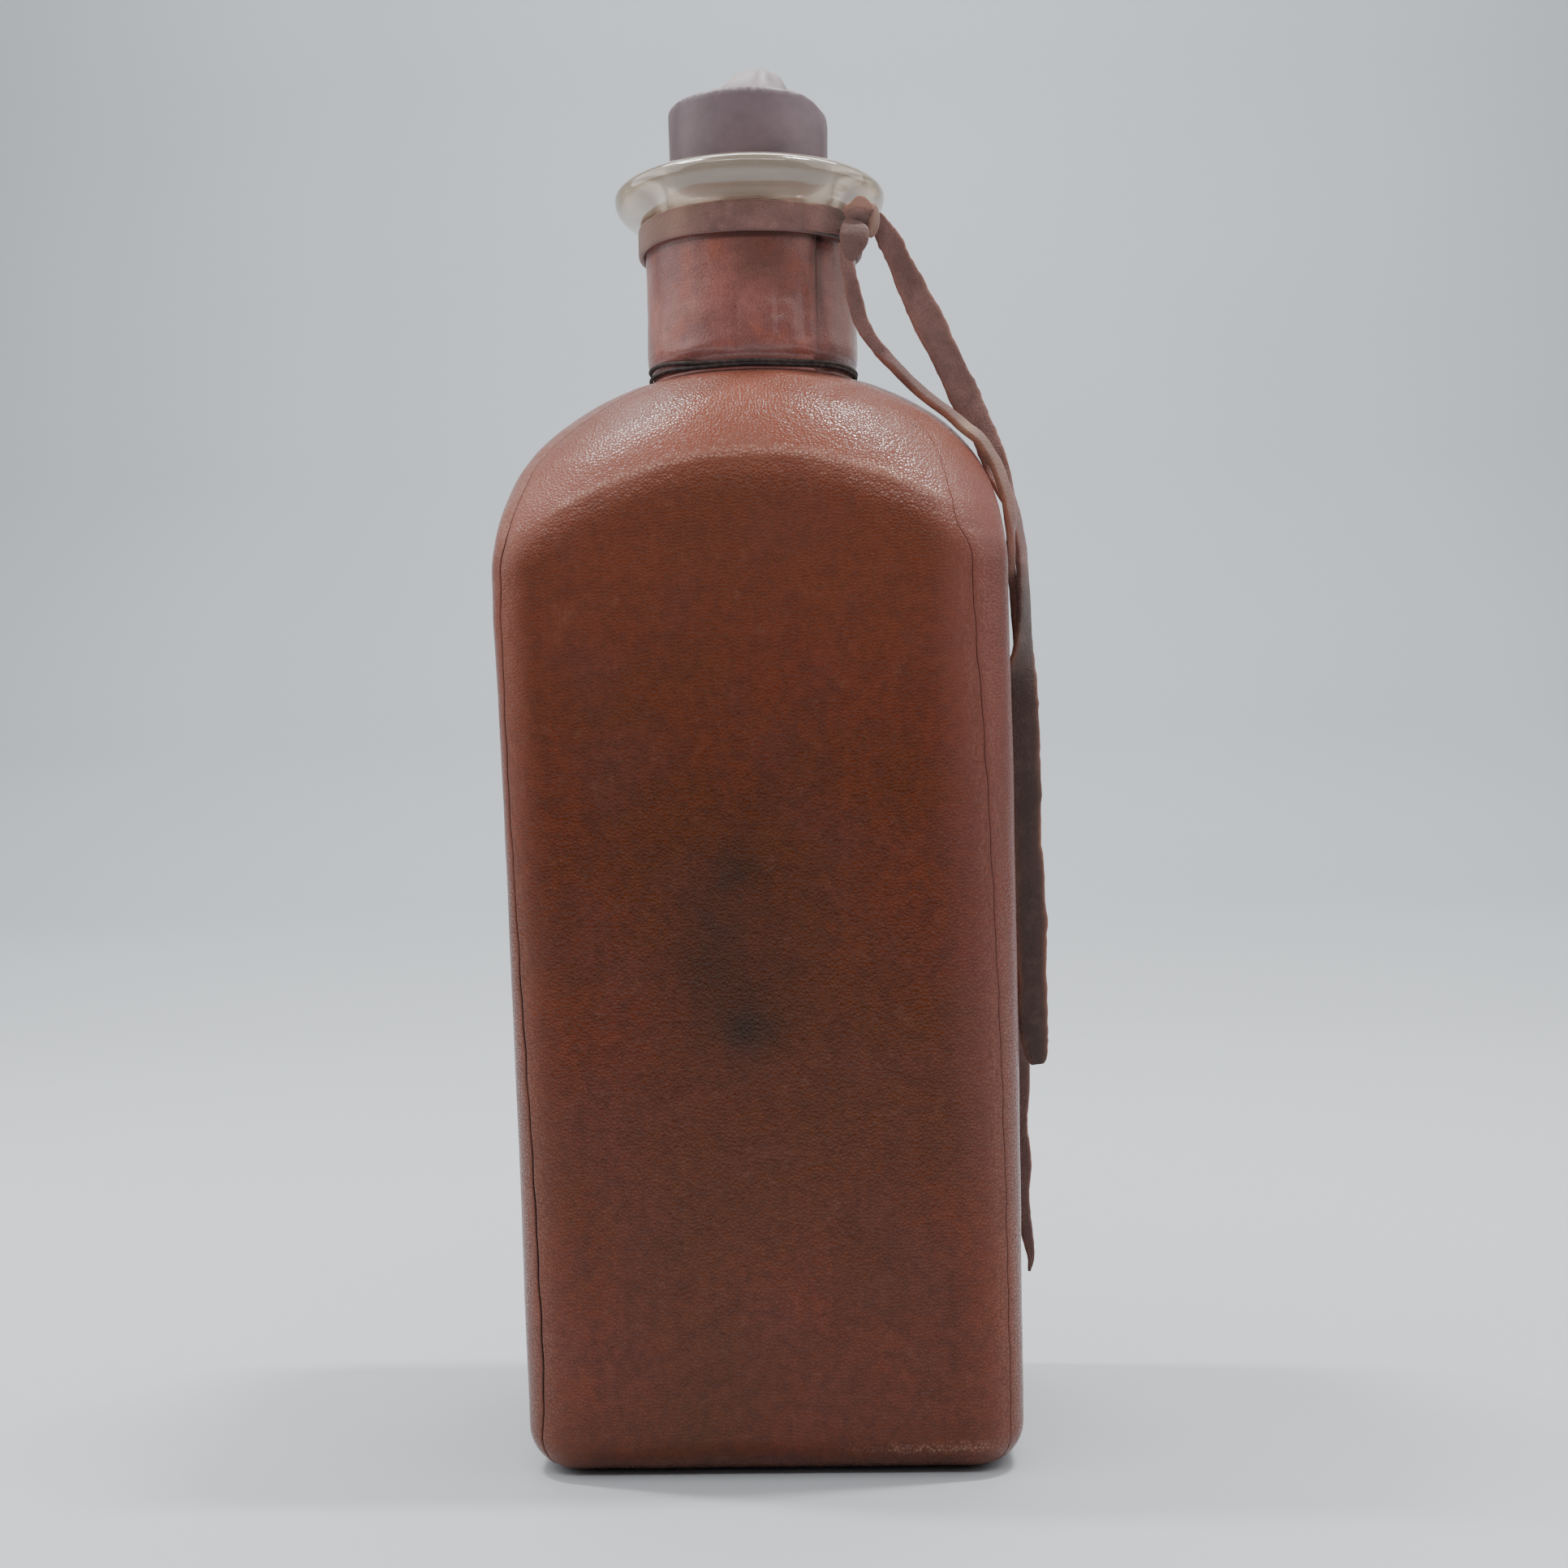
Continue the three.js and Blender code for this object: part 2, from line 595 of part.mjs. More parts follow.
function thongKnot() {
  const middle = (KNOT_TOP + KNOT_BOTTOM) / 2;
  const lump = roundedBlock(KNOT_WIDTH, KNOT_HEIGHT, KNOT_DEPTH, KNOT_WIDTH / 4).translate(0, KNOT_INNER, middle);
  const wrapWidth = KNOT_WIDTH + 2 * KNOT_WRAP;
  const wrap = roundedBlock(wrapWidth, KNOT_WRAP_HEIGHT, KNOT_DEPTH / 2, KNOT_WRAP / 2);
  wrap.translate(0, KNOT_INNER + KNOT_DEPTH / 3, KNOT_TOP - KNOT_WRAP_HEIGHT / 2);
  const shield = new THREE.Shape();
  shield.moveTo(FLAP_WIDTH / 2, FLAP_HEIGHT / 3);
  shield.lineTo(FLAP_WIDTH / 4, FLAP_HEIGHT / 2);
  shield.lineTo(-FLAP_WIDTH / 4, FLAP_HEIGHT / 2);
  shield.lineTo(-FLAP_WIDTH / 2, FLAP_HEIGHT / 3);
  shield.quadraticCurveTo(-FLAP_WIDTH / 2, -FLAP_HEIGHT / 6, -FLAP_WIDTH / 12, -FLAP_HEIGHT / 2);
  shield.lineTo(FLAP_WIDTH / 12, -FLAP_HEIGHT / 2);
  shield.quadraticCurveTo(FLAP_WIDTH / 2, -FLAP_HEIGHT / 6, FLAP_WIDTH / 2, FLAP_HEIGHT / 3);
  const flap = new THREE.ExtrudeGeometry(shield, { depth: 2 * THONG, bevelEnabled: false, curveSegments: 4 });
  flap.rotateX(Math.PI / 2).translate(0, KNOT_INNER + KNOT_DEPTH + THONG, KNOT_BOTTOM + FLAP_HEIGHT / 2 - THONG);
  const tab = new THREE.BoxGeometry(TAB_WIDTH, THONG, TAB_HEIGHT).translate(0, 0, TAB_HEIGHT / 2 - THONG);
  tab.rotateX(THREE.MathUtils.degToRad(-TAB_LEAN)).translate(0, KNOT_INNER + KNOT_DEPTH - THONG / 2, KNOT_TOP);
  const pieces = [lump, wrap, flap, tab].map((piece) => toSolid(turnToKnot(piece)));
  return toGeometry(pieces.reduce((whole, piece) => whole.add(piece)));
}

// Routes of the hanging ends of the thong, from the knot down. Each row has the place of the strap's
// middle, the direction that its face looks in, and its width.
const FRONT = [0, -1, 0];
const HALF_TURNED = [0.7, -0.7, 0];
const OUT = [1, 0, 0];
const OVER_SHOULDER = [0.5, -0.75, 0.45];

const WIDE_ROUTE = [
  { at: [22.5, -11.7, 208.6], face: FRONT, width: 3.0 },
  { at: [23.7, -11.2, 206.6], face: FRONT, width: 4.0 },
  { at: [25.0, -10.5, 204.3], face: FRONT, width: 4.7 },
  { at: [27.1, -9.6, 199.3], face: FRONT, width: 5.0 },
  { at: [30.2, -8.6, 193.1], face: FRONT, width: 5.6 },
  { at: [33.3, -7.8, 186.4], face: FRONT, width: 5.4 },
  { at: [36.0, -7.3, 180.6], face: FRONT, width: 5.2 },
  { at: [38.6, -7.2, 176.0], face: FRONT, width: 5.0 },
  { at: [40.8, -7.5, 171.7], face: FRONT, width: 4.8 },
  { at: [42.8, -8.0, 167.5], face: FRONT, width: 4.8 },
  { at: [44.2, -9.0, 163.0], face: HALF_TURNED, width: 4.6 },
  { at: [45.5, -10.3, 158.2], face: OUT, width: 4.4 },
  { at: [46.1, -11.6, 152.4], face: OUT, width: 4.4 },
  { at: [46.3, -12.4, 146.5], face: OUT, width: 4.4 },
  { at: [46.3, -13.0, 140.7], face: OUT, width: 4.6 },
  { at: [46.3, -13.3, 135.0], face: HALF_TURNED, width: 5.0 },
  { at: [46.3, -13.4, 128.0], face: FRONT, width: 5.2 },
  { at: [46.3, -13.4, 118.3], face: FRONT, width: 5.2 },
  { at: [46.2, -13.4, 107.2], face: FRONT, width: 5.3 },
  { at: [46.1, -13.4, 96.0], face: FRONT, width: 5.4 },
  { at: [46.0, -13.4, 85.0], face: FRONT, width: 5.3 },
  { at: [45.8, -13.4, 75.0], face: FRONT, width: 5.0 },
  { at: [45.8, -13.4, 68.1], face: FRONT, width: 4.4 },
  { at: [46.0, -13.4, 64.4], face: FRONT, width: 2.6 },
];

const NARROW_ROUTE = [
  { at: [16.0, -16.0, 200.2], face: FRONT, width: 2.0 },
  { at: [16.5, -16.0, 197.8], face: FRONT, width: 2.2 },
  { at: [17.3, -15.3, 194.6], face: FRONT, width: 2.5 },
  { at: [18.6, -14.0, 190.8], face: FRONT, width: 2.5 },
  { at: [21.2, -12.8, 187.8], face: FRONT, width: 2.3 },
  { at: [24.3, -12.0, 184.4], face: OVER_SHOULDER, width: 2.1 },
  { at: [28.2, -11.6, 180.3], face: OVER_SHOULDER, width: 2.1 },
  { at: [33.5, -11.8, 176.2], face: OVER_SHOULDER, width: 2.1 },
  { at: [36.5, -12.2, 173.5], face: OVER_SHOULDER, width: 2.1 },
  { at: [39.4, -12.9, 170.8], face: OVER_SHOULDER, width: 2.1 },
  { at: [42.0, -14.0, 166.3], face: OVER_SHOULDER, width: 2.1 },
  { at: [43.5, -15.2, 161.6], face: OVER_SHOULDER, width: 2.1 },
  { at: [44.1, -16.0, 157.4], face: HALF_TURNED, width: 2.1 },
  { at: [44.2, -15.0, 153.0], face: OUT, width: 2.1 },
  { at: [44.3, -12.5, 147.5], face: OUT, width: 2.1 },
  { at: [44.3, -9.5, 141.5], face: OUT, width: 2.1 },
  { at: [44.2, -7.8, 134.5], face: OUT, width: 2.1 },
  { at: [44.1, -7.2, 122.0], face: OUT, width: 2.2 },
  { at: [44.0, -7.0, 106.0], face: OUT, width: 2.2 },
  { at: [43.8, -7.0, 90.0], face: OUT, width: 2.2 },
  { at: [43.7, -7.0, 74.0], face: HALF_TURNED, width: 2.2 },
  { at: [43.6, -7.0, 60.0], face: FRONT, width: 2.2 },
  { at: [43.5, -7.0, 46.0], face: FRONT, width: 2.1 },
  { at: [43.8, -7.0, 34.0], face: FRONT, width: 1.6 },
  { at: [44.1, -7.0, 27.5], face: FRONT, width: 0.6 },
];

// Rows that round off the root of a strap about its first point, so that it can turn there.
function roundRoot(route, radius) {
  const start = new THREE.Vector3(...route[0].at);
  const back = start.clone().sub(new THREE.Vector3(...route[1].at)).normalize();
  const row = (angle) => ({
    at: start.clone().addScaledVector(back, radius * Math.sin(angle)).toArray(),
    face: route[0].face,
    width: 2 * radius * Math.cos(angle),
  });
  return [...ROOT_ANGLES.map((angle) => row(THREE.MathUtils.degToRad(angle))), ...route];
}

// A flat strap with chamfered edges along a route.
function strap(route) {
  const places = route.map((row) => new THREE.Vector3(...row.at));
  const rings = route.map((row, i) => {
    const before = places[Math.max(i - 1, 0)];
    const after = places[Math.min(i + 1, places.length - 1)];
    const along = new THREE.Vector3().subVectors(after, before).normalize();
    const face = new THREE.Vector3(...row.face);
    face.addScaledVector(along, -face.dot(along)).normalize();
    const across = new THREE.Vector3().crossVectors(along, face);
    const thick = TAIL_THICKNESS / 2;
    const half = row.width / 2;
    const chamfer = Math.min(thick, half) / 2;
    const corners = [
      [half, thick - chamfer], [half - chamfer, thick], [chamfer - half, thick], [-half, thick - chamfer],
      [-half, chamfer - thick], [chamfer - half, -thick], [half - chamfer, -thick], [half, chamfer - thick],
    ];
    return corners.map(([wide, deep]) => places[i].clone()
      .addScaledVector(across, wide)
      .addScaledVector(face, deep)).reverse();
  });
  return skin(rings);
}

// Assembly

const flask = new THREE.Group();

function addPiece(name, geometry, material) {
  const mesh = new THREE.Mesh(geometry, material);
  mesh.name = name;
  flask.add(mesh);
}

const clearGlass = new THREE.MeshStandardMaterial({ color: 0xd9d5d0, roughness: 0.2, metalness: 0 });
const frostedGlass = new THREE.MeshStandardMaterial({ color: 0x9c8f93, roughness: 0.45, metalness: 0 });
const bodyLeather = new THREE.MeshStandardMaterial({ color: 0x7a4433, roughness: 0.6, metalness: 0 });
const neckLeather = new THREE.MeshStandardMaterial({ color: 0x8a5a4c, roughness: 0.65, metalness: 0 });
const thongLeather = new THREE.MeshStandardMaterial({ color: 0x6b4f49, roughness: 0.75, metalness: 0 });
const blackCord = new THREE.MeshStandardMaterial({ color: 0x1c1716, roughness: 0.8, metalness: 0 });
const waxedThread = new THREE.MeshStandardMaterial({ color: 0x2b1c17, roughness: 0.8, metalness: 0 });

addPiece('glass_bottle', glassBottle(), clearGlass);
addPiece('glass_stopper', glassStopper(), frostedGlass);
addPiece('front_panel', facePanel(-1), bodyLeather);
addPiece('back_panel', facePanel(1), bodyLeather);
addPiece('left_gusset', sideGusset(-1), bodyLeather);
addPiece('right_gusset', sideGusset(1), bodyLeather);
addPiece('base_panel', basePanel(), bodyLeather);
addPiece('neck_sleeve', neckSleeve(), neckLeather);
addPiece('thong_band', thongBand(), thongLeather);
addPiece('thong_knot', thongKnot(), thongLeather);
addPiece('wide_tail', strap(roundRoot(WIDE_ROUTE, WIDE_ROOT_RADIUS)), thongLeather);
addPiece('narrow_tail', strap(roundRoot(NARROW_ROUTE, NARROW_ROOT_RADIUS)), thongLeather);
addPiece('neck_binding', neckBinding(), blackCord);
addPiece('binding_knot', bindingKnot(), blackCord);
SEAMS.forEach((seam) => {
  addPiece(seam.name, tube(seamRoute(seam.side, seam.face), THREAD_DIAMETER, CORD_SIDES), waxedThread);
});
addPiece('base_seam_thread', toGeometry(baseThreadRing(0)), waxedThread);

export default flask;
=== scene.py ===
# %% [markdown]
# # A leather-covered glass flask
# The real object is a rounded-square glass bottle with a solid glass stopper. Leather is sewn round
# its body, a leather sleeve covers the neck, black cord binds the foot of the sleeve, and a leather
# thong is knotted under the lip, with two tails that hang down on the right.
# The CAD solids come in first, as a fixed frame. Every piece below is modelled in that same frame.

import math

import bpy
import numpy as np
from mathutils import Matrix, Vector, noise


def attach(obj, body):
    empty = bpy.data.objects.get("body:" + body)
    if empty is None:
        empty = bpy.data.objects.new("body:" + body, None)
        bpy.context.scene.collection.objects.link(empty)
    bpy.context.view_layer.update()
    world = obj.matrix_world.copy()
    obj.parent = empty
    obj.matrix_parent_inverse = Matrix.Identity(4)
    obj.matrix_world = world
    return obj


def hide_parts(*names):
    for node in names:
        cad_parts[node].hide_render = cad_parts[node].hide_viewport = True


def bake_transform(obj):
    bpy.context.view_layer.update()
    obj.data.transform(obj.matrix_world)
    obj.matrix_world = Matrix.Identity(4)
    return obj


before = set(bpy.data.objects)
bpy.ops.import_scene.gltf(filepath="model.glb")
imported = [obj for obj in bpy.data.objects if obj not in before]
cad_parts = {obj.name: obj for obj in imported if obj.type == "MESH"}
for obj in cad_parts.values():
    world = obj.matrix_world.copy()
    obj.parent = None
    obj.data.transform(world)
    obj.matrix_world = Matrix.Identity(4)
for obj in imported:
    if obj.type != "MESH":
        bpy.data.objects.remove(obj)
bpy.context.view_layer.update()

# %% [markdown]
# ## Camera
# The photograph was taken from the front, at half height, a little to the right of the flask and
# with the camera slightly tilted. A perspective camera with the same place, lens and tilt makes the
# render comparable with the photograph. The picture is square, so the sensor's width is its height.

# %% Camera
CAMERA_PLACE = Vector((0.01680, -0.35837, 0.11294))
CAMERA_LOOK = Vector((-0.0377, 0.9993, 0)).normalized()
CAMERA_TILT = math.radians(1.245)

camera_right = CAMERA_LOOK.cross(Vector((0, 0, 1))).normalized()
camera_up = camera_right.cross(CAMERA_LOOK)
tilted_up = camera_up * math.cos(CAMERA_TILT) + camera_right * math.sin(CAMERA_TILT)
tilted_right = camera_right * math.cos(CAMERA_TILT) - camera_up * math.sin(CAMERA_TILT)
camera_turn = Matrix((tilted_right, tilted_up, -CAMERA_LOOK)).transposed()


def link(name, data):
    """Puts a camera, mesh, curve or light into the scene."""
    made = bpy.data.objects.new(name, data)
    bpy.context.scene.collection.objects.link(made)
    return made


lens = bpy.data.cameras.new("camera")
lens.sensor_width = 36
lens.lens = 46.2
lens.clip_start = 0.01
camera = link("camera", lens)
camera.matrix_world = Matrix.Translation(CAMERA_PLACE) @ camera_turn.to_4x4()
bpy.context.scene.camera = camera
print("camera at", [round(v, 3) for v in CAMERA_PLACE])

# %% [markdown]
# ## Helpers for mesh pieces
# Leather sheets and cords are drawn as rows of points in millimetres and skinned with quads. Helpers
# keep that short: one makes the mesh, one stores values on each point for the materials to read, one
# applies a modifier as the button in the modifier panel does, and one ties a piece to the frame.

# %% Mesh helpers
MM = 0.001


def make_active(*pieces):
    """Selects pieces and makes the first one active."""
    bpy.ops.object.select_all(action="DESELECT")
    for piece in pieces:
        piece.select_set(True)
    bpy.context.view_layer.objects.active = pieces[0]


def grid_piece(name, rows, closed=False, capped=False):
    """A smooth skin over rows of points in mm. closed joins each row's ends, capped fills the end rows."""
    index = np.arange(rows.shape[0] * rows.shape[1]).reshape(rows.shape[:2])
    if closed:
        index = np.hstack([index, index[:, :1]])
    quads = np.stack([index[:-1, :-1], index[:-1, 1:], index[1:, 1:], index[1:, :-1]], -1)
    faces = quads.reshape(-1, 4).tolist()
    if capped:
        faces += [index[0, :-1][::-1].tolist(), index[-1, :-1].tolist()]
    mesh = bpy.data.meshes.new(name)
    mesh.from_pydata((rows.reshape(-1, 3) * MM).tolist(), [], faces)
    mesh.shade_smooth()
    return link(name, mesh)


def store(piece, **values):
    """Keeps numbers for each point of a piece, for its material to read. One number stands for all points."""
    for name, numbers in values.items():
        attribute = piece.data.attributes.new(name, "FLOAT", "POINT")
        numbers = np.resize(np.asarray(numbers, np.float32), len(piece.data.vertices))
        attribute.data.foreach_set("value", numbers)


def apply_modifier(piece, kind, **values):
    modifier = piece.modifiers.new(kind.lower(), kind)
    for key, value in values.items():
        setattr(modifier, key, value)
    make_active(piece)
    bpy.ops.object.modifier_apply(modifier=modifier.name)


def fit(piece, cad_node, body="flask"):
    """Parents a piece to the body it rides on, hides the CAD solid it stands for and prints its size."""
    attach(piece, body)
    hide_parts(cad_node)
    print(piece.name, [round(v / MM, 1) for v in piece.dimensions], "mm,", len(piece.data.polygons), "faces")


# %% [markdown]
# Soft transitions recur in every hand-made piece: a smooth step, a step up and down again, a bell,
# and smooth noise for surfaces that were never quite flat.

# %% Soft transitions
def smooth_step(x, low, high):
    t = np.clip((np.asarray(x, float) - low) / (high - low), 0, 1)
    return t * t * (3 - 2 * t)


def plateau(x, rise, full, fall, end):
    return smooth_step(x, rise, full) * (1 - smooth_step(x, fall, end))


def bell(x, middle, width, power=2):
    return np.exp(-(((x - middle) / width) ** power))


def ripple(points, size, seed=0.0):
    """Smooth noise from -1 to 1 at points in mm, with features about size mm across."""
    flat = points.reshape(-1, 3) / size + seed
    return np.array([noise.noise(Vector(p)) for p in flat]).reshape(points.shape[:-1])


def grid_normals(rows, closed=False):
    along = np.gradient(rows, axis=0)
    if closed:
        across = np.roll(rows, -1, 1) - np.roll(rows, 1, 1)
    else:
        across = np.gradient(rows, axis=1)
    normals = np.cross(across, along)
    return normals / np.maximum(np.linalg.norm(normals, axis=-1, keepdims=True), 1e-9)


def run_along(points):
    """The distance along a line, at each of its points."""
    return np.r_[0, np.cumsum(np.linalg.norm(np.diff(points, axis=0), axis=1))]


print("a step is", smooth_step(0.5, 0, 1), "in its middle")

# %% [markdown]
# ## The flask's form
# One set of sections describes the whole flask. At each height the section is a rectangle with
# rounded corners, and over the shoulder it narrows and turns into the round neck. The glass and the
# leather use the same sections at different distances outside the glass, so they always fit.

# %% Sections of the flask
LEATHER_OUT = 2.0
BODY_HALF_BASE = 38.9
BODY_HALF_TOP = 40.9
BODY_HALF_DEEP = 31.0
CORNER = 6.5
SHOULDER = 148.0
NECK_BASE = 182.2
NECK_RADIUS = 16.75
FLAT_FADE = 26.0


def shoulder_line(*corners):
    """A curve from the body to the neck, drawn with four control points, and its directions."""
    t = np.linspace(0, 1, 160)[:, None]
    a, b, c, d = np.array(corners, float)
    points = (1 - t) ** 3 * a + 3 * (1 - t) ** 2 * t * b + 3 * (1 - t) * t * t * c + t**3 * d
    along = (1 - t) ** 2 * (b - a) + 2 * (1 - t) * t * (c - b) + t * t * (d - c)
    return points, along / np.linalg.norm(along, axis=1)[:, None]


SIDE_LINE = shoulder_line(
    (BODY_HALF_TOP, SHOULDER), (BODY_HALF_TOP, 170.5), (33.25, 176.8), (NECK_RADIUS, NECK_BASE))
FRONT_LINE = shoulder_line(
    (BODY_HALF_DEEP, 158.0), (BODY_HALF_DEEP, 170.0), (24.25, 177.7), (NECK_RADIUS, NECK_BASE))


def half_size(z, base, line, out):
    points, along = line
    heights = np.r_[0, points[:, 1] - out * along[:, 0]]
    halves = np.r_[base + out, points[:, 0] + out * along[:, 1]]
    return np.maximum(np.interp(z, heights, halves), NECK_RADIUS + out)


def section(z, out):
    """Half width, half depth and half flats of the flask at height z, at a distance outside the glass."""
    half_x = half_size(z, BODY_HALF_BASE, SIDE_LINE, out)
    half_y = half_size(z, BODY_HALF_DEEP, FRONT_LINE, out)
    glass = half_size(min(z, SHOULDER), BODY_HALF_BASE, SIDE_LINE, 0)
    flat_x = (glass - CORNER) * (1 - smooth_step(z, SHOULDER, SHOULDER + FLAT_FADE))
    flat_y = (BODY_HALF_DEEP - CORNER) * (1 - smooth_step(z, SHOULDER, NECK_BASE))
    return np.array([half_x, half_y, flat_x, flat_y])


# The hand-made body leans a little: the middle of its section at each height, in mm.
LEAN_AT = [0, 60, 110, 141, 165, 176, 184, 190]
LEAN_BY = [0.6, 0.3, -0.2, -0.8, -1.0, -0.8, -0.6, -0.6]


def leaned(points):
    """A copy of points that leans as the flask does."""
    points = np.array(points)
    points[..., 0] += np.interp(points[..., 2], LEAN_AT, LEAN_BY)
    return points


print("half sizes at the base", section(0, LEATHER_OUT))

# %% [markdown]
# ## Leather cover
# Front, back and two side gussets are cut from leather, sewn edge to edge over the glass and moulded
# wet, so each seam is a fine valley between two rolled edges. A subdivided box would not follow the
# shoulder, so each piece is a grid that runs from seam to seam on the flask's sections, with its
# edge columns close together for the roll. Solidify then gives the sheet its thickness.

# %% Seam lines and the cover's rows
# Each seam: heights, and the angle on the corner's arc from the side (0) to the front or back (90).
SEAM_RIGHT = ([0, 19, 48, 75, 101, 124, 137, 147, 154, 158.6, 163, 167, 171, 176, 179, 181, 184],
              [45, 46, 49, 54, 61, 68, 73, 76, 69, 54, 45, 39.5, 37, 37, 40.5, 43, 45])
SEAM_LEFT = ([0, 17, 50, 76, 109, 125, 141, 147, 153, 160, 167, 171, 176, 184],
             [45, 56, 52, 46, 38, 38, 41, 44, 41, 33, 28, 29, 37, 45])
SEAM_BACK = ([0, 17, 60, 120, 147, 160, 170, 176, 184],
             [45, 46, 42, 39, 43, 36, 33, 38, 45])
CORNERS = {  # side, face and seam of each corner
    "front_left": (-1, -1, SEAM_LEFT), "front_right": (1, -1, SEAM_RIGHT),
    "back_left": (-1, 1, SEAM_BACK), "back_right": (1, 1, SEAM_BACK),
}

# Each row of the cover: its height, how far it is curled in, and how far it has gone under the foot.
CURL, CURL_LOW = 7.4, 0.35
COVER_TOP = 183.3
cover_rows = [(CURL_LOW, inset, (inset - CURL) / 1.85) for inset in (9.25, 8.3)]
for turn in np.linspace(0, math.pi / 2, 14):
    rise = (CURL - CURL_LOW) * (1 - math.cos(turn))
    cover_rows.append((CURL_LOW + rise, CURL * (1 - math.sin(turn)), 0))
for z in (*np.linspace(CURL, SHOULDER, 66)[1:], *np.linspace(SHOULDER, COVER_TOP, 54)[1:]):
    cover_rows.append((z, 0, 0))
cover_rows = np.array(cover_rows)
print(len(cover_rows), "rows from the base seam to the neck")

# %% Grid of a cover piece
EDGE_STEPS = np.array([0.05, 0.16, 0.34, 0.65, 1.1, 1.7, 2.5, 3.6])
UNDER_FOOT = 9.4


def seam_angle(z, seam):
    """The seam's angle on its corner at a height, wandering a little as a line sewn by hand does."""
    wander = 0.7 * math.sin(0.75 * z + seam[1][1]) + 0.5 * math.sin(0.41 * z + 2 * seam[1][2])
    return math.radians(np.interp(z, *seam) + wander * (1 - 0.75 * smooth_step(z, 140, 158)))


def corner_arc(row_section, angles, side, face):
    half_x, half_y, flat_x, flat_y = row_section
    return np.stack([
        side * (flat_x + (half_x - flat_x) * np.cos(angles)),
        face * (flat_y + (half_y - flat_y) * np.sin(angles)),
    ], -1)


def cover_grid(first, last, columns):
    """Points of a piece between two corners, and how far each is from the nearer seam."""
    middle = math.pi / 2 if first[1] == last[1] else 0
    rows, edges = [], []
    for z, inset, under in cover_rows:
        here = section(z, LEATHER_OUT) - (inset, inset, UNDER_FOOT * under, UNDER_FOOT * under)
        line = np.vstack([
            corner_arc(here, np.linspace(seam_angle(z, first[2]), middle, 28), *first[:2]),
            corner_arc(here, np.linspace(middle, seam_angle(z, last[2]), 28), *last[:2]),
        ])
        run = run_along(line)
        width = run[-1]
        inner = np.linspace(EDGE_STEPS[-1], width - EDGE_STEPS[-1], columns)
        places = np.r_[EDGE_STEPS[:-1], inner, width - EDGE_STEPS[-2::-1]]
        flat = [np.interp(places, run, line[:, axis]) for axis in (0, 1)]
        rows.append(np.column_stack([*flat, np.full(len(places), z)]))
        edges.append(np.minimum(places, width - places))
    return np.array(rows), np.array(edges)


print("edge columns", len(EDGE_STEPS), "on each side")

# %% [markdown]
# The grid is pushed along its normals: down into the seam at the edges, up where the edge rolls over
# and in a bead along the arch where the flat front turns into the shoulder, and by a little smooth
# noise, because wet-moulded leather is never quite flat.

# %% Moulding the leather
ROLL_AT = [0, 0.12, 0.3, 0.6, 1.0, 1.6, 2.6, 4.5]
ROLL_BY = [-0.36, -0.12, -0.02, 0.0, 0.01, 0.015, 0.01, 0]
ARCH_TOP, ARCH_CURVE = 166.2, 0.0086
TUCKED_RADIUS = 17.9


def soften_fold(rows, edges, rounds=60):
    """Rounds off the fold under the shoulder towards the corners, in depth only, so that the outline stays."""
    z = rows[..., 2]
    ease = smooth_step(np.abs(rows[..., 0]), 6, 24) * plateau(z, 126, 140, 174, 180)
    ease = (ease * smooth_step(edges, 0.5, 8))[1:-1]
    share = (z[1:-1] - z[:-2]) / np.maximum(z[2:] - z[:-2], 1e-6)
    for _ in range(rounds):
        between = rows[:-2, :, 1] + (rows[2:, :, 1] - rows[:-2, :, 1]) * share
        rows[1:-1, :, 1] += 0.6 * ease * (between - rows[1:-1, :, 1])
    return rows


def shoulder_marks(rows):
    """Where the shoulder is moulded tight, the right front edge, the arch's bead, and heights above the arch."""
    x, y, z = np.moveaxis(rows, -1, 0)
    above = z - (ARCH_TOP - ARCH_CURVE * (x - 1) ** 2)
    bead = (1 - smooth_step(np.abs(x), 26, 37)) * (y < 0) * (0.75 + 0.5 * ripple(rows, 4, 6.2))
    return plateau(z, 149, 158, 176, 181), (x > 0) & (y < 8), bead, above


def mould(rows, edges, marks):
    """Pushes rolled edges, bead and unevenness into the rows, and tucks the top under the sleeve."""
    moulded, right_front, bead, above = marks
    roll = np.interp(edges, ROLL_AT, ROLL_BY)
    roll *= np.where(right_front, 0.15 * (1 - 0.9 * moulded), 0.65 * (1 - 0.5 * moulded))
    uneven = 0.10 * ripple(rows, 22, 3.1) + 0.05 * ripple(rows, 7, 8.7)
    uneven -= 0.18 * plateau(rows[..., 2], 20, 60, 110, 140) * smooth_step(edges, 4, 30)
    out = roll + np.where(cover_rows[:, 1:2] > 5, 0, uneven) + 0.24 * bead * bell(above, 0.8, 1.1)
    rows = rows + grid_normals(rows) * out[..., None]
    rows[..., 2] = np.maximum(rows[..., 2], 0.3)
    tuck = smooth_step(cover_rows[:, :1], COVER_TOP - 0.9, COVER_TOP)
    from_neck = np.hypot(rows[..., 0], rows[..., 1])
    rows[..., :2] *= (1 + tuck * (np.minimum(from_neck, TUCKED_RADIUS) / from_neck - 1))[..., None]
    return rows


print("bead along an arch", ARCH_TOP, "mm high")
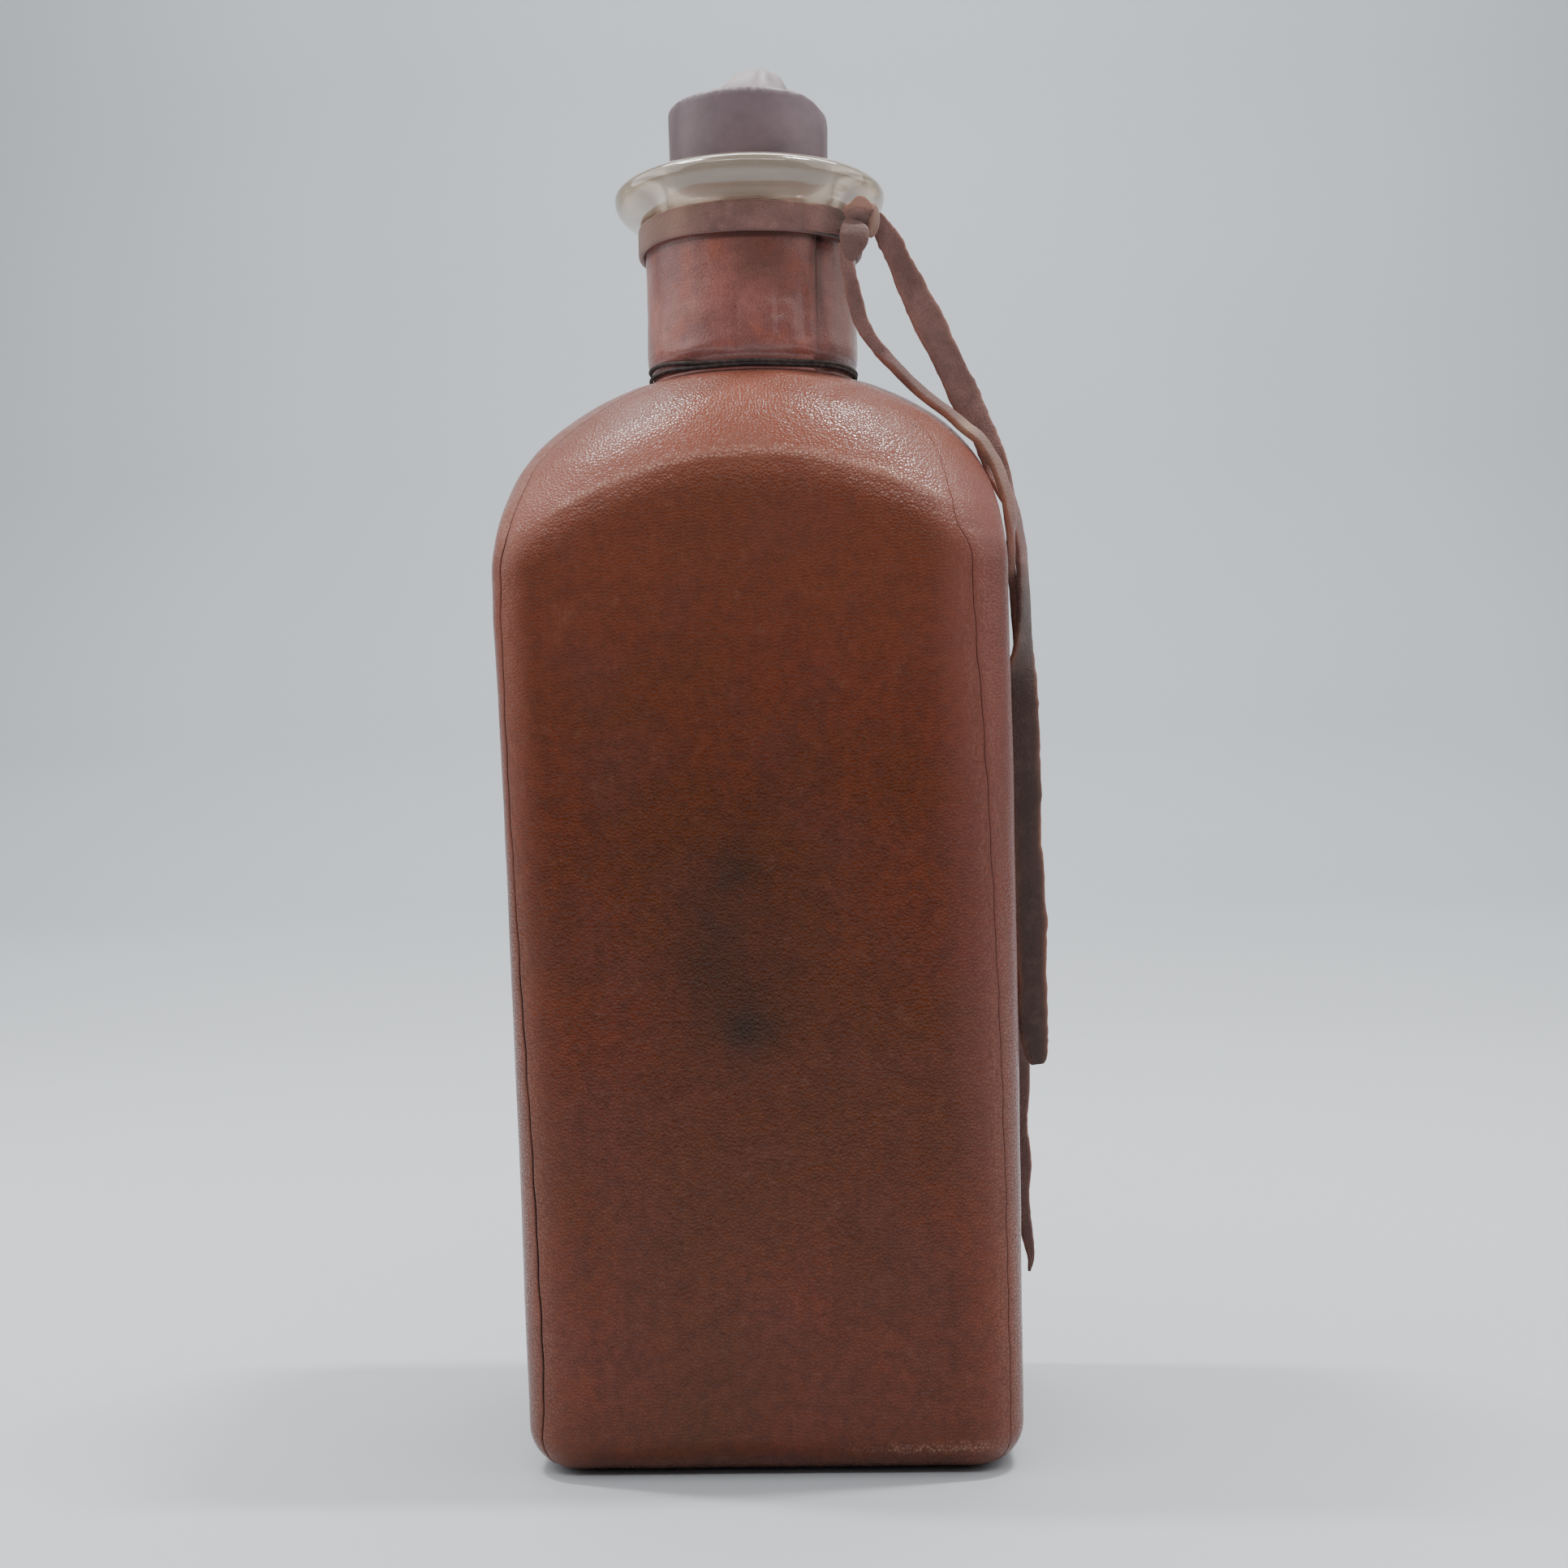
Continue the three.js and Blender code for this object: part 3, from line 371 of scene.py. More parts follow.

# %% [markdown]
# Each point also keeps how worn, stained and near a seam it is, and where light and shade are painted
# into its colour. Painted values like these let one leather material show wear, painted light and
# painted shade in the right places without any image.

# %% Wear, painted light and shade, and the leather pieces of the body
# Soft round patches: strength, place and size in mm.
SCUFFS = [
    (0.25, (-29.7, -33, 141.2), (1.8, 6, 1.2)), (0.2, (-30.9, -33, 138.2), (0.9, 6, 1.6)),
    (0.7, (23, -32.5, 5.0), (9, 6, 0.8)), (0.8, (33, -31, 5.4), (3, 6, 0.7)),
]
STAIN = [
    (1, (-3.2, -33, 85), (9.5, 8, 15)), (-0.55, (-1.5, -33, 86), (6, 8, 9.5)),
    (0.7, (-3.5, -33, 99.5), (4, 8, 2.6)), (0.8, (-1.5, -33, 73), (5, 8, 2.8)),
]


def spots(rows, patches):
    return sum(k * np.exp(-(((rows - place) / size) ** 2).sum(-1)) for k, place, size in patches)


def store_wear_and_light(piece, name, rows, edges, marks):
    moulded, right_front, bead, above = marks
    x, y, z = np.moveaxis(rows, -1, 0)
    seam = 1 - smooth_step(edges, 0.06, 0.26)
    seam *= np.where(right_front, 0.15 * (1 - 0.85 * moulded), 1 - 0.25 * moulded)
    # Paler marks: scuffs are worn, the arch's bead is worn and carries a painted highlight, a painted highlight lies
    # on the rim under the cord, and the left gusset is paler over the shoulder.
    worn = 1.4 * bead * bell(above, 1.2, 0.8) + spots(rows, SCUFFS)
    worn += 0.35 * bell(z, 181.5, 0.6) + 0.5 * moulded * (name == "left_gusset")
    # Painted light: lighter above the arch and up the front, where light falls from above, and on the corners and
    # gussets, where the side lights fall.
    upper = 0.7 * smooth_step(above, -4, 4) + 0.3 * smooth_step(above, -60, 0)
    lit_corners = (1 - smooth_step(edges, 1, 10)) * (0.3 + 0.4 * smooth_step(z, 90, 150))
    store(
        # The seams are dark joints; painted shade darkens the top edge under the cord.
        piece, seam=np.maximum(seam, 0.8 * smooth_step(z, 182.6, 183.2)), rolled=bell(edges, 1.5, 1.1),
        worn=np.clip(worn, 0, 1), stain=np.clip(spots(rows, STAIN), 0, 1),
        foot=1 - smooth_step(z, 1.0, 5.0),
        upper=np.maximum(upper, np.maximum(lit_corners, 0.3 * ("gusset" in name))),
        # Painted sheen: a pale pinkish veil on the right side of the front.
        flush=smooth_step(x, 26, 40) * plateau(z, 30, 70, 160, 176) * (1 - smooth_step(y, 0, 25)))


def body_leather_piece(name, first, last, columns):
    rows, edges = cover_grid(CORNERS[first], CORNERS[last], columns)
    rows = soften_fold(rows, edges)
    marks = shoulder_marks(rows)
    rows = mould(rows, edges, marks)
    piece = grid_piece(name + "_leather", leaned(rows))
    store_wear_and_light(piece, name, rows, edges, marks)
    apply_modifier(piece, "SOLIDIFY", thickness=1.1 * MM, offset=-1, use_rim=True)
    fit(piece, name)
    return piece


body_pieces = [
    body_leather_piece("front_panel", "front_left", "front_right", 100),
    body_leather_piece("back_panel", "back_right", "back_left", 70),
    body_leather_piece("right_gusset", "front_right", "back_right", 70),
    body_leather_piece("left_gusset", "back_left", "front_left", 70),
]

# %% [markdown]
# ## Base panel
# A flat piece of leather closes the cover underneath, and the flask stands on it. It is a filled
# rounded outline, extruded to its thickness and bevelled, which is how a flat cut piece is best made.

# %% Base panel
def rounded_outline(half_x, half_y, corner, z, steps=10):
    points = []
    for quarter, (side, face) in enumerate(((1, 1), (-1, 1), (-1, -1), (1, -1))):
        for angle in np.linspace(0, math.pi / 2, steps) + quarter * math.pi / 2:
            points.append((side * (half_x - corner) + corner * math.cos(angle),
                           face * (half_y - corner) + corner * math.sin(angle), z))
    return np.array(points)


base_outline = rounded_outline(31.35, 23.45, 8.3, 0)
base_mesh = bpy.data.meshes.new("base_panel_leather")
base_mesh.from_pydata((base_outline * MM).tolist(), [], [list(range(len(base_outline)))[::-1]])
base_panel = link("base_panel_leather", base_mesh)
apply_modifier(base_panel, "SOLIDIFY", thickness=1.6 * MM, offset=-1)
apply_modifier(base_panel, "BEVEL", width=0.45 * MM, segments=3, limit_method="ANGLE")
store(base_panel, seam=0, rolled=0, worn=0, stain=0, upper=0, flush=0, foot=1)
fit(base_panel, "base_panel")

# %% [markdown]
# ## Seam threads
# The seams are pulled shut, so only a dark line of waxed thread shows at the bottom of each valley.
# A curve with a round bevel follows each seam, and is turned into a mesh.

# %% Seam threads
THREAD_DEPTH, THREAD_TOP = 0.55, 182.4


def tube_piece(name, points, diameter, cyclic=False, sides=3):
    """A round tube along points in mm, made as a bevelled curve and converted to a mesh."""
    curve = bpy.data.curves.new(name, "CURVE")
    curve.dimensions = "3D"
    curve.bevel_depth = diameter / 2 * MM
    curve.bevel_resolution = sides
    curve.use_fill_caps = True
    spline = curve.splines.new("POLY")
    spline.points.add(len(points) - 1)
    spline.points.foreach_set("co", np.column_stack([points * MM, np.ones(len(points))]).ravel())
    spline.use_cyclic_u = cyclic
    spline.use_smooth = True
    make_active(link(name, curve))
    bpy.ops.object.convert(target="MESH")
    return bpy.context.view_layer.objects.active


def seam_points(side, face, seam):
    line = []
    for z in np.linspace(CURL, THREAD_TOP, 150):
        here = section(z, LEATHER_OUT - THREAD_DEPTH)
        line.append((*corner_arc(here, seam_angle(z, seam), side, face), z))
    return leaned(line)


seam_threads = [tube_piece(name + "_seam_line", seam_points(*corner), 0.24)
                for name, corner in CORNERS.items()]
base_line = rounded_outline(31.75, 23.85, 8.5, 0.85)
seam_threads.append(tube_piece("base_seam_line", base_line, 0.6, cyclic=True))
for thread in seam_threads:
    fit(thread, thread.name.replace("line", "thread"))

# %% [markdown]
# ## Glass bottle
# The bottle is one thick-walled glass vessel, and only its flared lip shows. It has to be round at
# the neck and square below, so it is a stack of section rings: up the outside, over the lip and down
# the bore to the inner floor.

# %% Glass bottle
LIP_BOTTOM, LIP_BELLY, LIP_RADIUS = 212.0, 216.7, 24.0
LIP_CROWN = [
    (23.98, 217.0), (23.88, 217.35), (23.66, 217.7), (23.3, 218.05), (22.8, 218.45), (22.1, 218.82),
    (21.2, 219.15), (20.2, 219.42), (19.2, 219.68), (18.3, 219.95), (17.6, 220.2), (17.0, 220.35),
    (16.2, 220.4), (15.2, 220.36), (14.6, 220.15), (14.3, 219.7),
]
BORE_END = (12.9, 192.7)
GLASS_FOOT, FOOT_ROUND = 2.0, 5.4
INNER_FLOOR, INNER_ROUND, WALL = 8.0, 2.7, 3.2
RING_STEPS = 96


def section_ring(half_x, half_y, flat_x, flat_y, z):
    angle = (np.arange(RING_STEPS) + 0.5) * 2 * math.pi / RING_STEPS
    across, deep = np.cos(angle), np.sin(angle)
    return np.column_stack([
        np.sign(across) * flat_x + (half_x - flat_x) * across,
        np.sign(deep) * flat_y + (half_y - flat_y) * deep,
        np.full(RING_STEPS, z),
    ])


def body_rings(foot, foot_round, out):
    rings = []
    for turn in np.linspace(0, math.pi / 2, 7):
        z = foot + foot_round * (1 - math.cos(turn))
        inset = foot_round * (1 - math.sin(turn))
        rings.append(section_ring(*(section(z, out) - (inset, inset, 0, 0)), z))
    return rings + [section_ring(*section(z, out), z) for z in np.linspace(SHOULDER, NECK_BASE, 26)]


lip_turn = np.linspace(0, math.pi / 2, 14)
flare = np.column_stack([
    NECK_RADIUS + (LIP_RADIUS - NECK_RADIUS) * np.sin(lip_turn) ** 0.9,
    LIP_BELLY - (LIP_BELLY - LIP_BOTTOM) * np.cos(lip_turn)])
bore = np.linspace(LIP_CROWN[-1], BORE_END, 8)[1:]
bottle_rows = np.array([
    *body_rings(GLASS_FOOT, FOOT_ROUND, 0),
    *[section_ring(radius, radius, 0, 0, z) for radius, z in (*flare, *LIP_CROWN, *bore)],
    *body_rings(INNER_FLOOR, INNER_ROUND, -WALL)[::-1],
])
glass_bottle = grid_piece("bottle_glass", leaned(bottle_rows), closed=True, capped=True)
from_axis = np.hypot(bottle_rows[..., 0], bottle_rows[..., 1])
store(glass_bottle, ground=(from_axis < 15.5) * (bottle_rows[..., 2] > 190), rim=0, tip=0)
fit(glass_bottle, "glass_bottle")

# %% [markdown]
# ## Glass stopper
# The stopper is a solid tapered plug with a low pointed top. A turned shape like this is one profile
# swept round the axis, so an edge profile gets a Screw modifier. The top is ground by hand, so a few
# flats are pressed into the tip afterwards, and a small chip into the rim.

# %% Glass stopper
STOPPER_PROFILE = [
    (0, 193.1), (11.6, 193.1), (12.3, 193.35), (12.65, 194), (13.3, 207), (14.0, 220.6), (14.12, 226),
    (14.18, 229.5), (14.2, 231.3), (14.2, 231.9), (14.12, 232.3), (13.9, 232.6), (13.5, 232.8),
    (12.8, 232.95), (11.6, 233.15), (10.0, 233.6), (8.1, 234.5), (6.2, 236.0), (5.0, 237.4), (4.2, 238.5),
    (3.2, 239.3), (1.7, 239.85), (0, 240),
]
TIP_ASIDE = 1.7


def merge_points(piece):
    """Merges points that lie together, and turns all faces outwards."""
    make_active(piece)
    bpy.ops.object.mode_set(mode="EDIT")
    bpy.ops.mesh.select_all(action="SELECT")
    bpy.ops.mesh.remove_doubles(threshold=1e-6)
    bpy.ops.mesh.normals_make_consistent(inside=False)
    bpy.ops.object.mode_set(mode="OBJECT")


profile_mesh = bpy.data.meshes.new("stopper_glass")
profile_mesh.from_pydata([(x * MM, 0, z * MM) for x, z in STOPPER_PROFILE],
                         [(i, i + 1) for i in range(len(STOPPER_PROFILE) - 1)], [])
glass_stopper = link("stopper_glass", profile_mesh)
apply_modifier(glass_stopper, "SCREW", axis="Z", steps=96, render_steps=96,
               use_merge_vertices=True, merge_threshold=1e-5)
merge_points(glass_stopper)
glass_stopper.data.shade_smooth()

x, y, z = np.array([vertex.co for vertex in glass_stopper.data.vertices]).T / MM
turn = np.arctan2(y, x)
chip = smooth_step(z, 230, 232.4) * bell(turn, -0.25, 0.42) * smooth_step(np.hypot(x, y), 10, 14)
ground = (1 + 0.06 * smooth_step(z, 234, 236) * np.cos(5 * turn + 0.6)) * (1 - 0.035 * chip)
z = z - 0.9 * chip
stopper_points = leaned(np.column_stack([x * ground + TIP_ASIDE * smooth_step(z, 233, 239), y * ground, z]))
for vertex, point in zip(glass_stopper.data.vertices, stopper_points):
    vertex.co = point * MM
# rim is a painted highlight along the top edge; tip makes the pointed top paler.
store(glass_stopper, rim=bell(z, 232.3, 0.4), tip=0.5 * smooth_step(z, 234.5, 237.5), ground=0)
fit(glass_stopper, "glass_stopper", body="stopper")

# %% [markdown]
# ## Neck sleeve
# A strip of leather is wrapped round the neck and laps over itself on the right. It is a grid that
# runs once round from under the lap to its outer end, and it is wrinkled above the cord. Wrinkles are
# pushed in as soft grooves and ridges.

# %% Neck sleeve
SLEEVE_LOW, SLEEVE_TOP = 183.6, 211.8
SLEEVE_RADIUS = 18.7
LAP_ANGLE = math.radians(40)
SLEEVE_AT = [183.6, 184.2, 185.9, 186.9, 188.5, 196, 203, 210.2]
SLEEVE_OUT = [18.3, 17.75, 17.75, 18.5, 18.72, 18.5, 18.6, 18.75]
# Upright grooves: degrees from the front towards the right, width, lower and upper end, depth.
GROOVES = [
    (-6, 1.6, 186.5, 200, 0.30), (12, 2.4, 187, 197, -0.22), (17, 2, 188, 198, 0.24),
    (24, 3, 186.5, 196, -0.25), (31, 2.4, 188, 199, 0.20), (-30, 5, 185, 190, -0.25),
]

turns, heights = np.meshgrid(np.linspace(0, 2 * math.pi, 221), np.linspace(SLEEVE_LOW, SLEEVE_TOP, 64))
angles = LAP_ANGLE + turns
to_front = np.degrees(np.angle(np.exp(1j * angles)))
lap_edge = (2 * math.pi - turns) * SLEEVE_RADIUS


def sleeve_points(radius):
    return np.stack([radius * np.sin(angles), -radius * np.cos(angles), heights], -1)


radius = np.interp(heights, SLEEVE_AT, SLEEVE_OUT) - 0.55 * (1 - smooth_step(turns, 0.05, 0.30))
radius += np.interp(lap_edge, [0, 0.3, 0.8, 2, 5], [-0.25, 0.02, 0.16, 0.12, 0])
for degree, width, low, high, depth in GROOVES:
    radius -= depth * bell(to_front, degree, width) * plateau(heights, low, low + 2, high - 3, high)
even = sleeve_points(radius)
squeezed = bell(to_front, -32, 15) + bell(to_front, 27, 7)
crinkled = bell(to_front, 18, 14) * bell(heights, 191.5, 4.5)
radius += 0.12 * ripple(even, 6, 1.7) + 0.05 * ripple(even, 2.2, 4.4)
radius += 0.36 * squeezed * bell(heights, 187.5, 0.85)
radius += 0.22 * crinkled * ripple(even * np.array([1, 1, 1.8]), 2.6, 9.1)
neck_sleeve = grid_piece("sleeve_leather", leaned(sleeve_points(radius)))

# A dark line along the lap, and a painted shadow line on the sleeve under the band.
lap = 0.45 * bell(lap_edge, 0.2, 2.6) + 0.5 * bell(lap_edge, 0, 0.5) + 0.8 * bell(turns, 0.05, 0.06)
store(
    neck_sleeve, shade=bell(to_front, 8, 26) * smooth_step(heights, 190, 204),
    lap=lap * smooth_step(heights, 186, 198) + 0.8 * bell(heights, 206.2, 0.45),
    # pale is a painted sheen on the right of the sleeve, past the lap.
    pale=plateau(turns, 0.1, 0.3, 1.2, 2.2))
apply_modifier(neck_sleeve, "SOLIDIFY", thickness=0.9 * MM, offset=-1, use_rim=True)
fit(neck_sleeve, "neck_sleeve")

# %% [markdown]
# ## Neck binding
# Black cord is wound twice round the foot of the sleeve and tied at the back. It is a bevelled curve.
# The turns lie apart on the left and press together on the right, as on the real flask.

# %% Neck binding
BINDING_TURNS, BINDING_GAP = 2, 0.09
KNOT_COILS = 2.5

turn = np.linspace(BINDING_GAP, 2 * BINDING_TURNS * math.pi - BINDING_GAP, 300)
angle = math.pi / 2 + turn
left = np.maximum(0, -np.cos(angle)) ** 2
second = smooth_step(turn / (2 * math.pi), 0.85, 1.15)
z = 184.15 + 0.8 * np.cos(angle) ** 2 + second * (0.52 + 1.1 * left) + 0.07 * np.sin(7 * angle)
radius = 18.2 + 0.05 * np.sin(3 * angle) + 0.08 * second
binding_line = leaned(np.column_stack([radius * np.cos(angle), radius * np.sin(angle), z]))
neck_binding = tube_piece("binding_cord", binding_line, 0.76, sides=4)
fit(neck_binding, "neck_binding")

coil = np.linspace(0, 2 * math.pi * KNOT_COILS, 90)
coil_line = np.column_stack([np.sin(coil), 19.7 + 0.7 * np.cos(coil), np.linspace(183.9, 186.7, 90)])
binding_knot = tube_piece("binding_knot_cord", coil_line, 1.15, sides=4)
fit(binding_knot, "binding_knot")

# %% [markdown]
# ## The thong: band, knot and tails
# One leather strip goes round the neck under the lip and is knotted on the right. Its two ends hang
# down. Straps are flat, twist, and have cut edges, so each is a flat rounded section carried along a
# smooth line that is turned and widened from row to row.

# %% Strap helper
SECTION_TURN = np.arange(20) * 2 * math.pi / 20


def strap_section(power):
    """A strap's section, across and through: a circle squared off by a power."""
    circle = np.array([np.cos(SECTION_TURN), np.sin(SECTION_TURN)])
    return np.sign(circle) * np.abs(circle) ** power


def smooth_route(rows, per_span):
    """Catmull-Rom points through rows of numbers."""
    rows = np.array(rows, float)
    ends = np.vstack([2 * rows[0] - rows[1], rows, 2 * rows[-1] - rows[-2]])
    points = []
    for i in range(1, len(ends) - 2):
        a, b, c, d = ends[i - 1:i + 3]
        for t in np.arange(per_span) / per_span:
            points.append(0.5 * (2 * b + (c - a) * t + (2 * a - 5 * b + 4 * c - d) * t**2
                                 + (3 * b - a - 3 * c + d) * t**3))
    points.append(rows[-1])
    return np.array(points)


def rough_edge(run, side, seed):
    slow = noise.noise(Vector((run * 0.16, side * 7.0, seed)))
    return slow + 0.5 * noise.noise(Vector((run * 0.9, side * 5.0, seed)))


def strap_rows(route, thickness, per_span, jag, seed):
    """Rows of a strap, its edges and its middle. A route's row is x, y, z, the way its face looks, and its width."""
    fine = smooth_route(route, per_span)
    middle = fine[:, :3]
    along = np.gradient(middle, axis=0)
    along /= np.linalg.norm(along, axis=1)[:, None]
    face = fine[:, 3:6]
    face = face - along * (face * along).sum(1)[:, None]
    face /= np.linalg.norm(face, axis=1)[:, None]
    across = np.cross(along, face)
    half = np.maximum(fine[:, 6:], 0.3) / 2
    wide, deep = strap_section(0.45)
    rough = [[rough_edge(run, side, seed) for side in (0, 1)] for run in run_along(middle)]
    sides = half * (1 + jag * np.array(rough))
    reach = wide * np.where(wide > 0, sides[:, 1:], sides[:, :1])
    thick = np.minimum(thickness / 2, half) * deep
    rows = middle[:, None] + across[:, None] * reach[..., None] + face[:, None] * thick[..., None]
    edge = np.tile(np.abs(wide) ** 6, (len(fine), 1))
    return rows[:, ::-1], edge[:, ::-1], middle


print("strap section of", len(SECTION_TURN), "points")

# %% Thong band
BAND_LOW, BAND_TOP = 206.5, 211.8
BAND_RADIUS, BAND_HALF_THICK = 19.42, 0.55

band_turn = np.linspace(0, 2 * math.pi, 161)
outwards = np.column_stack([np.cos(band_turn), np.sin(band_turn), 0 * band_turn])
band_middle = outwards * (BAND_RADIUS + 0.06 * np.sin(5 * band_turn))[:, None]
band_middle[:, 2] = (BAND_LOW + BAND_TOP) / 2 + 0.125 * np.sin(2 * band_turn + 0.6)
half_width = (BAND_TOP - BAND_LOW - 0.3 + 0.2 * np.sin(3 * band_turn)) / 2
wide, deep = strap_section(0.4)
band_rows = leaned(band_middle)[:, None] + BAND_HALF_THICK * deep[:, None] * outwards[:, None]
band_rows[..., 2] += half_width[:, None] * wide
band_rows[-1] = band_rows[0]
band_rows += 0.08 * (ripple(band_rows, 5, 2.2)[..., None] * grid_normals(band_rows, closed=True))
band_rows[-1] = band_rows[0]
thong_band = grid_piece("band_strap", band_rows, closed=True)
towards_knot = np.repeat(np.degrees(band_turn), len(SECTION_TURN))
# dark is painted shade on the band beside the knot.
store(thong_band, cut=0, beige=0.4 * plateau(towards_knot, 170, 205, 232, 256),
      dark=0.7 * plateau(towards_knot, 294, 312, 325, 335))
merge_points(thong_band)
fit(thong_band, "thong_band")

# %% [markdown]
# The knot is small and built of folded strap: a lump where the strip passes through itself, a short
# raw-cut tab above, and a shield-shaped flap that lies over the front. The folds are short straps,
# joined into one piece.

# %% Routes of the knot's folds
KNOT_TURN = math.radians(48)
KNOT_FRAME = np.array([  # across the knot, up, and outwards from the neck
    (math.cos(KNOT_TURN), math.sin(KNOT_TURN), 0), (0, 0, 1), (math.sin(KNOT_TURN), -math.cos(KNOT_TURN), 0)])
NEAR, SIDEWAYS = (0.12, -1, 0), (0.75, -0.66, 0)


def knot_row(side, up, out, face, width):
    """A strap's row in the knot's own frame."""
    return [*((side, up, out) @ KNOT_FRAME), *(face @ KNOT_FRAME), width]


def faced(face, *rows):
    """Rows of a strap whose face looks one way. Each is x, y, z and the width."""
    return [(*row[:3], *face, row[3]) for row in rows]


THROUGH = [  # the strip as it comes off the band and goes through itself
    knot_row(-6.4, 209.1, 17.8, (-0.32, 0, 0.95), 4.6), knot_row(-4.6, 209.1, 19.4, (-0.27, 0, 0.95), 4.6),
    knot_row(-2.8, 209.0, 20.1, (-0.3, 0, 0.95), 4.6), knot_row(-1.2, 208.8, 20.9, (-0.35, 0.1, 1), 4.5),
    knot_row(0.4, 208.4, 21.7, (0, 0.1, 1), 4.4), knot_row(1.8, 207.6, 21.9, (0.4, 0.1, 1), 4.2),
    knot_row(3.4, 207.2, 20.8, (0.8, 0, 0.6), 3.6),
]
TAB = faced(  # the raw-cut tab on top
    NEAR, (19.5, -14.2, 207.8, 3.6), (19.4, -14.6, 208.6, 4.4), (19.2, -15.1, 209.4, 4.9),
    (18.9, -15.6, 210.1, 5.6), (18.75, -15.9, 210.8, 5.5), (18.85, -16.1, 211.2, 4.7),
    (18.9, -16.2, 211.6, 3.7), (18.95, -16.3, 212.05, 2.6), (19.0, -16.3, 212.4, 1.2))
FLAP = faced(  # the shield-shaped flap in front
    NEAR, (18.0, -15.0, 208.3, 2.8), (17.9, -15.9, 207.7, 3.8), (17.9, -16.5, 207.0, 4.6),
    (17.95, -16.9, 205.9, 5.1), (17.8, -17.0, 204.8, 4.9), (17.5, -16.8, 203.6, 3.9),
    (17.2, -16.5, 202.7, 2.9), (17.0, -16.2, 201.8, 1.8), (16.9, -16.0, 201.1, 0.7))
WRAP = faced(  # the wrap that comes round on the right
    SIDEWAYS, (20.6, -14.6, 211.3, 1.6), (21.0, -14.5, 210.5, 2.0), (21.2, -14.3, 209.5, 2.2),
    (21.1, -14.2, 208.3, 2.2), (20.7, -14.1, 207.2, 2.0), (20.2, -14.0, 206.3, 1.2))
print("knot of", len(THROUGH) + len(TAB) + len(FLAP) + len(WRAP), "strap rows")

# %% Thong knot
KNOT_FOLDS = [  # route, thickness, raggedness, waviness and paleness of the cut edge
    (THROUGH, 1.3, 0.05, 0.10, 0.3), (TAB, 1.3, 0.10, 0.05, 0.8),
    (FLAP, 1.5, 0.06, 0.10, 0.35), (WRAP, 1.6, 0.08, 0.10, 0.4),
]
knot_folds = []
for i, (route, thickness, jag, wave, raw) in enumerate(KNOT_FOLDS):
    rows, edge, _ = strap_rows(route, thickness, 6, jag, 3.3 * i)
    rows = rows + wave * ripple(rows, 1.8, i)[..., None]
    # The folds are a little darker all over; painted shade darkens the strip near the knot and the tab's lower part,
    # in the fold between tab and flap.
    cut, beige, dark = raw * edge, 0, 0.38
    if route is THROUGH:
        dark = 0.75 * smooth_step(rows[..., 0], 11.5, 17)
    elif route is TAB:
        rows[..., 2] -= 0.22 * np.clip(19.3 - rows[..., 0], 0, 3) * smooth_step(rows[..., 2], 209.8, 211)
        cut = np.maximum(cut, 0.95 * smooth_step(rows[..., 2], 209.6, 210.8))
        beige = 0.5 * smooth_step(rows[..., 2], 209.9, 211)
        dark = 0.5 * (1 - smooth_step(rows[..., 2], 208.6, 210.3))
    elif route is WRAP:
        beige, dark = 0.5, 0.1
    knot_folds.append(grid_piece(f"knot_fold_{i}", rows, closed=True, capped=True))
    store(knot_folds[-1], cut=cut, beige=beige, dark=dark)
make_active(*knot_folds)
bpy.ops.object.join()
thong_knot = bpy.context.view_layer.objects.active
thong_knot.name = "thong_knot_folds"
fit(thong_knot, "thong_knot")

# %% [markdown]
# The wide tail leaves the knot, falls clear of the shoulder and hangs beside the body. It shows its
# face, turns edge-on for a while, and turns back. The narrow tail slips out under the flap, lies over
# the shoulder in front of the wide one, and hangs behind it to a pointed tip. Both are free leather
# cords.

# %% Routes of the tails
FRONT, HALF, TURNED = (0, -1, 0), (0.7, -0.7, 0), (0.85, -0.53, 0)
OUT, OVER = (1, 0, 0), (0.5, -0.75, 0.45)

WIDE_TAIL = [
    *faced(FRONT, (21.7, -13.0, 210.1, 1.8), (22.3, -12.5, 209.2, 2.6), (23.1, -11.8, 207.6, 3.6),
           (24.4, -11.0, 205.4, 4.4), (27.1, -9.6, 199.3, 4.8), (30.2, -8.6, 193.1, 5.6), (33.3, -7.8, 186.4, 5.4),
           (36.0, -7.3, 180.6, 5.2), (38.4, -7.2, 176.0, 5.0), (40.2, -7.5, 171.7, 4.8), (41.6, -8.0, 167.5, 4.6)),
    *faced(HALF, (42.9, -9.0, 163.0, 4.4)),
    *faced(TURNED, (44.4, -10.3, 158.2, 3.6), (45.2, -11.6, 152.4, 3.2), (45.4, -12.4, 146.5, 3.2),
           (45.4, -13.0, 140.7, 3.8)),
    *faced(HALF, (45.1, -13.3, 135.0, 4.8)),
    *faced(FRONT, (45.0, -13.4, 128.0, 5.2), (45.0, -13.4, 118.3, 5.2), (45.1, -13.4, 107.2, 5.3),
           (45.3, -13.4, 96.0, 5.4), (45.5, -13.4, 85.0, 5.3), (45.5, -13.4, 75.0, 5.0), (45.6, -13.4, 68.1, 4.6),
           (45.9, -13.4, 65.2, 3.6), (46.0, -13.4, 64.2, 2.2)),
]
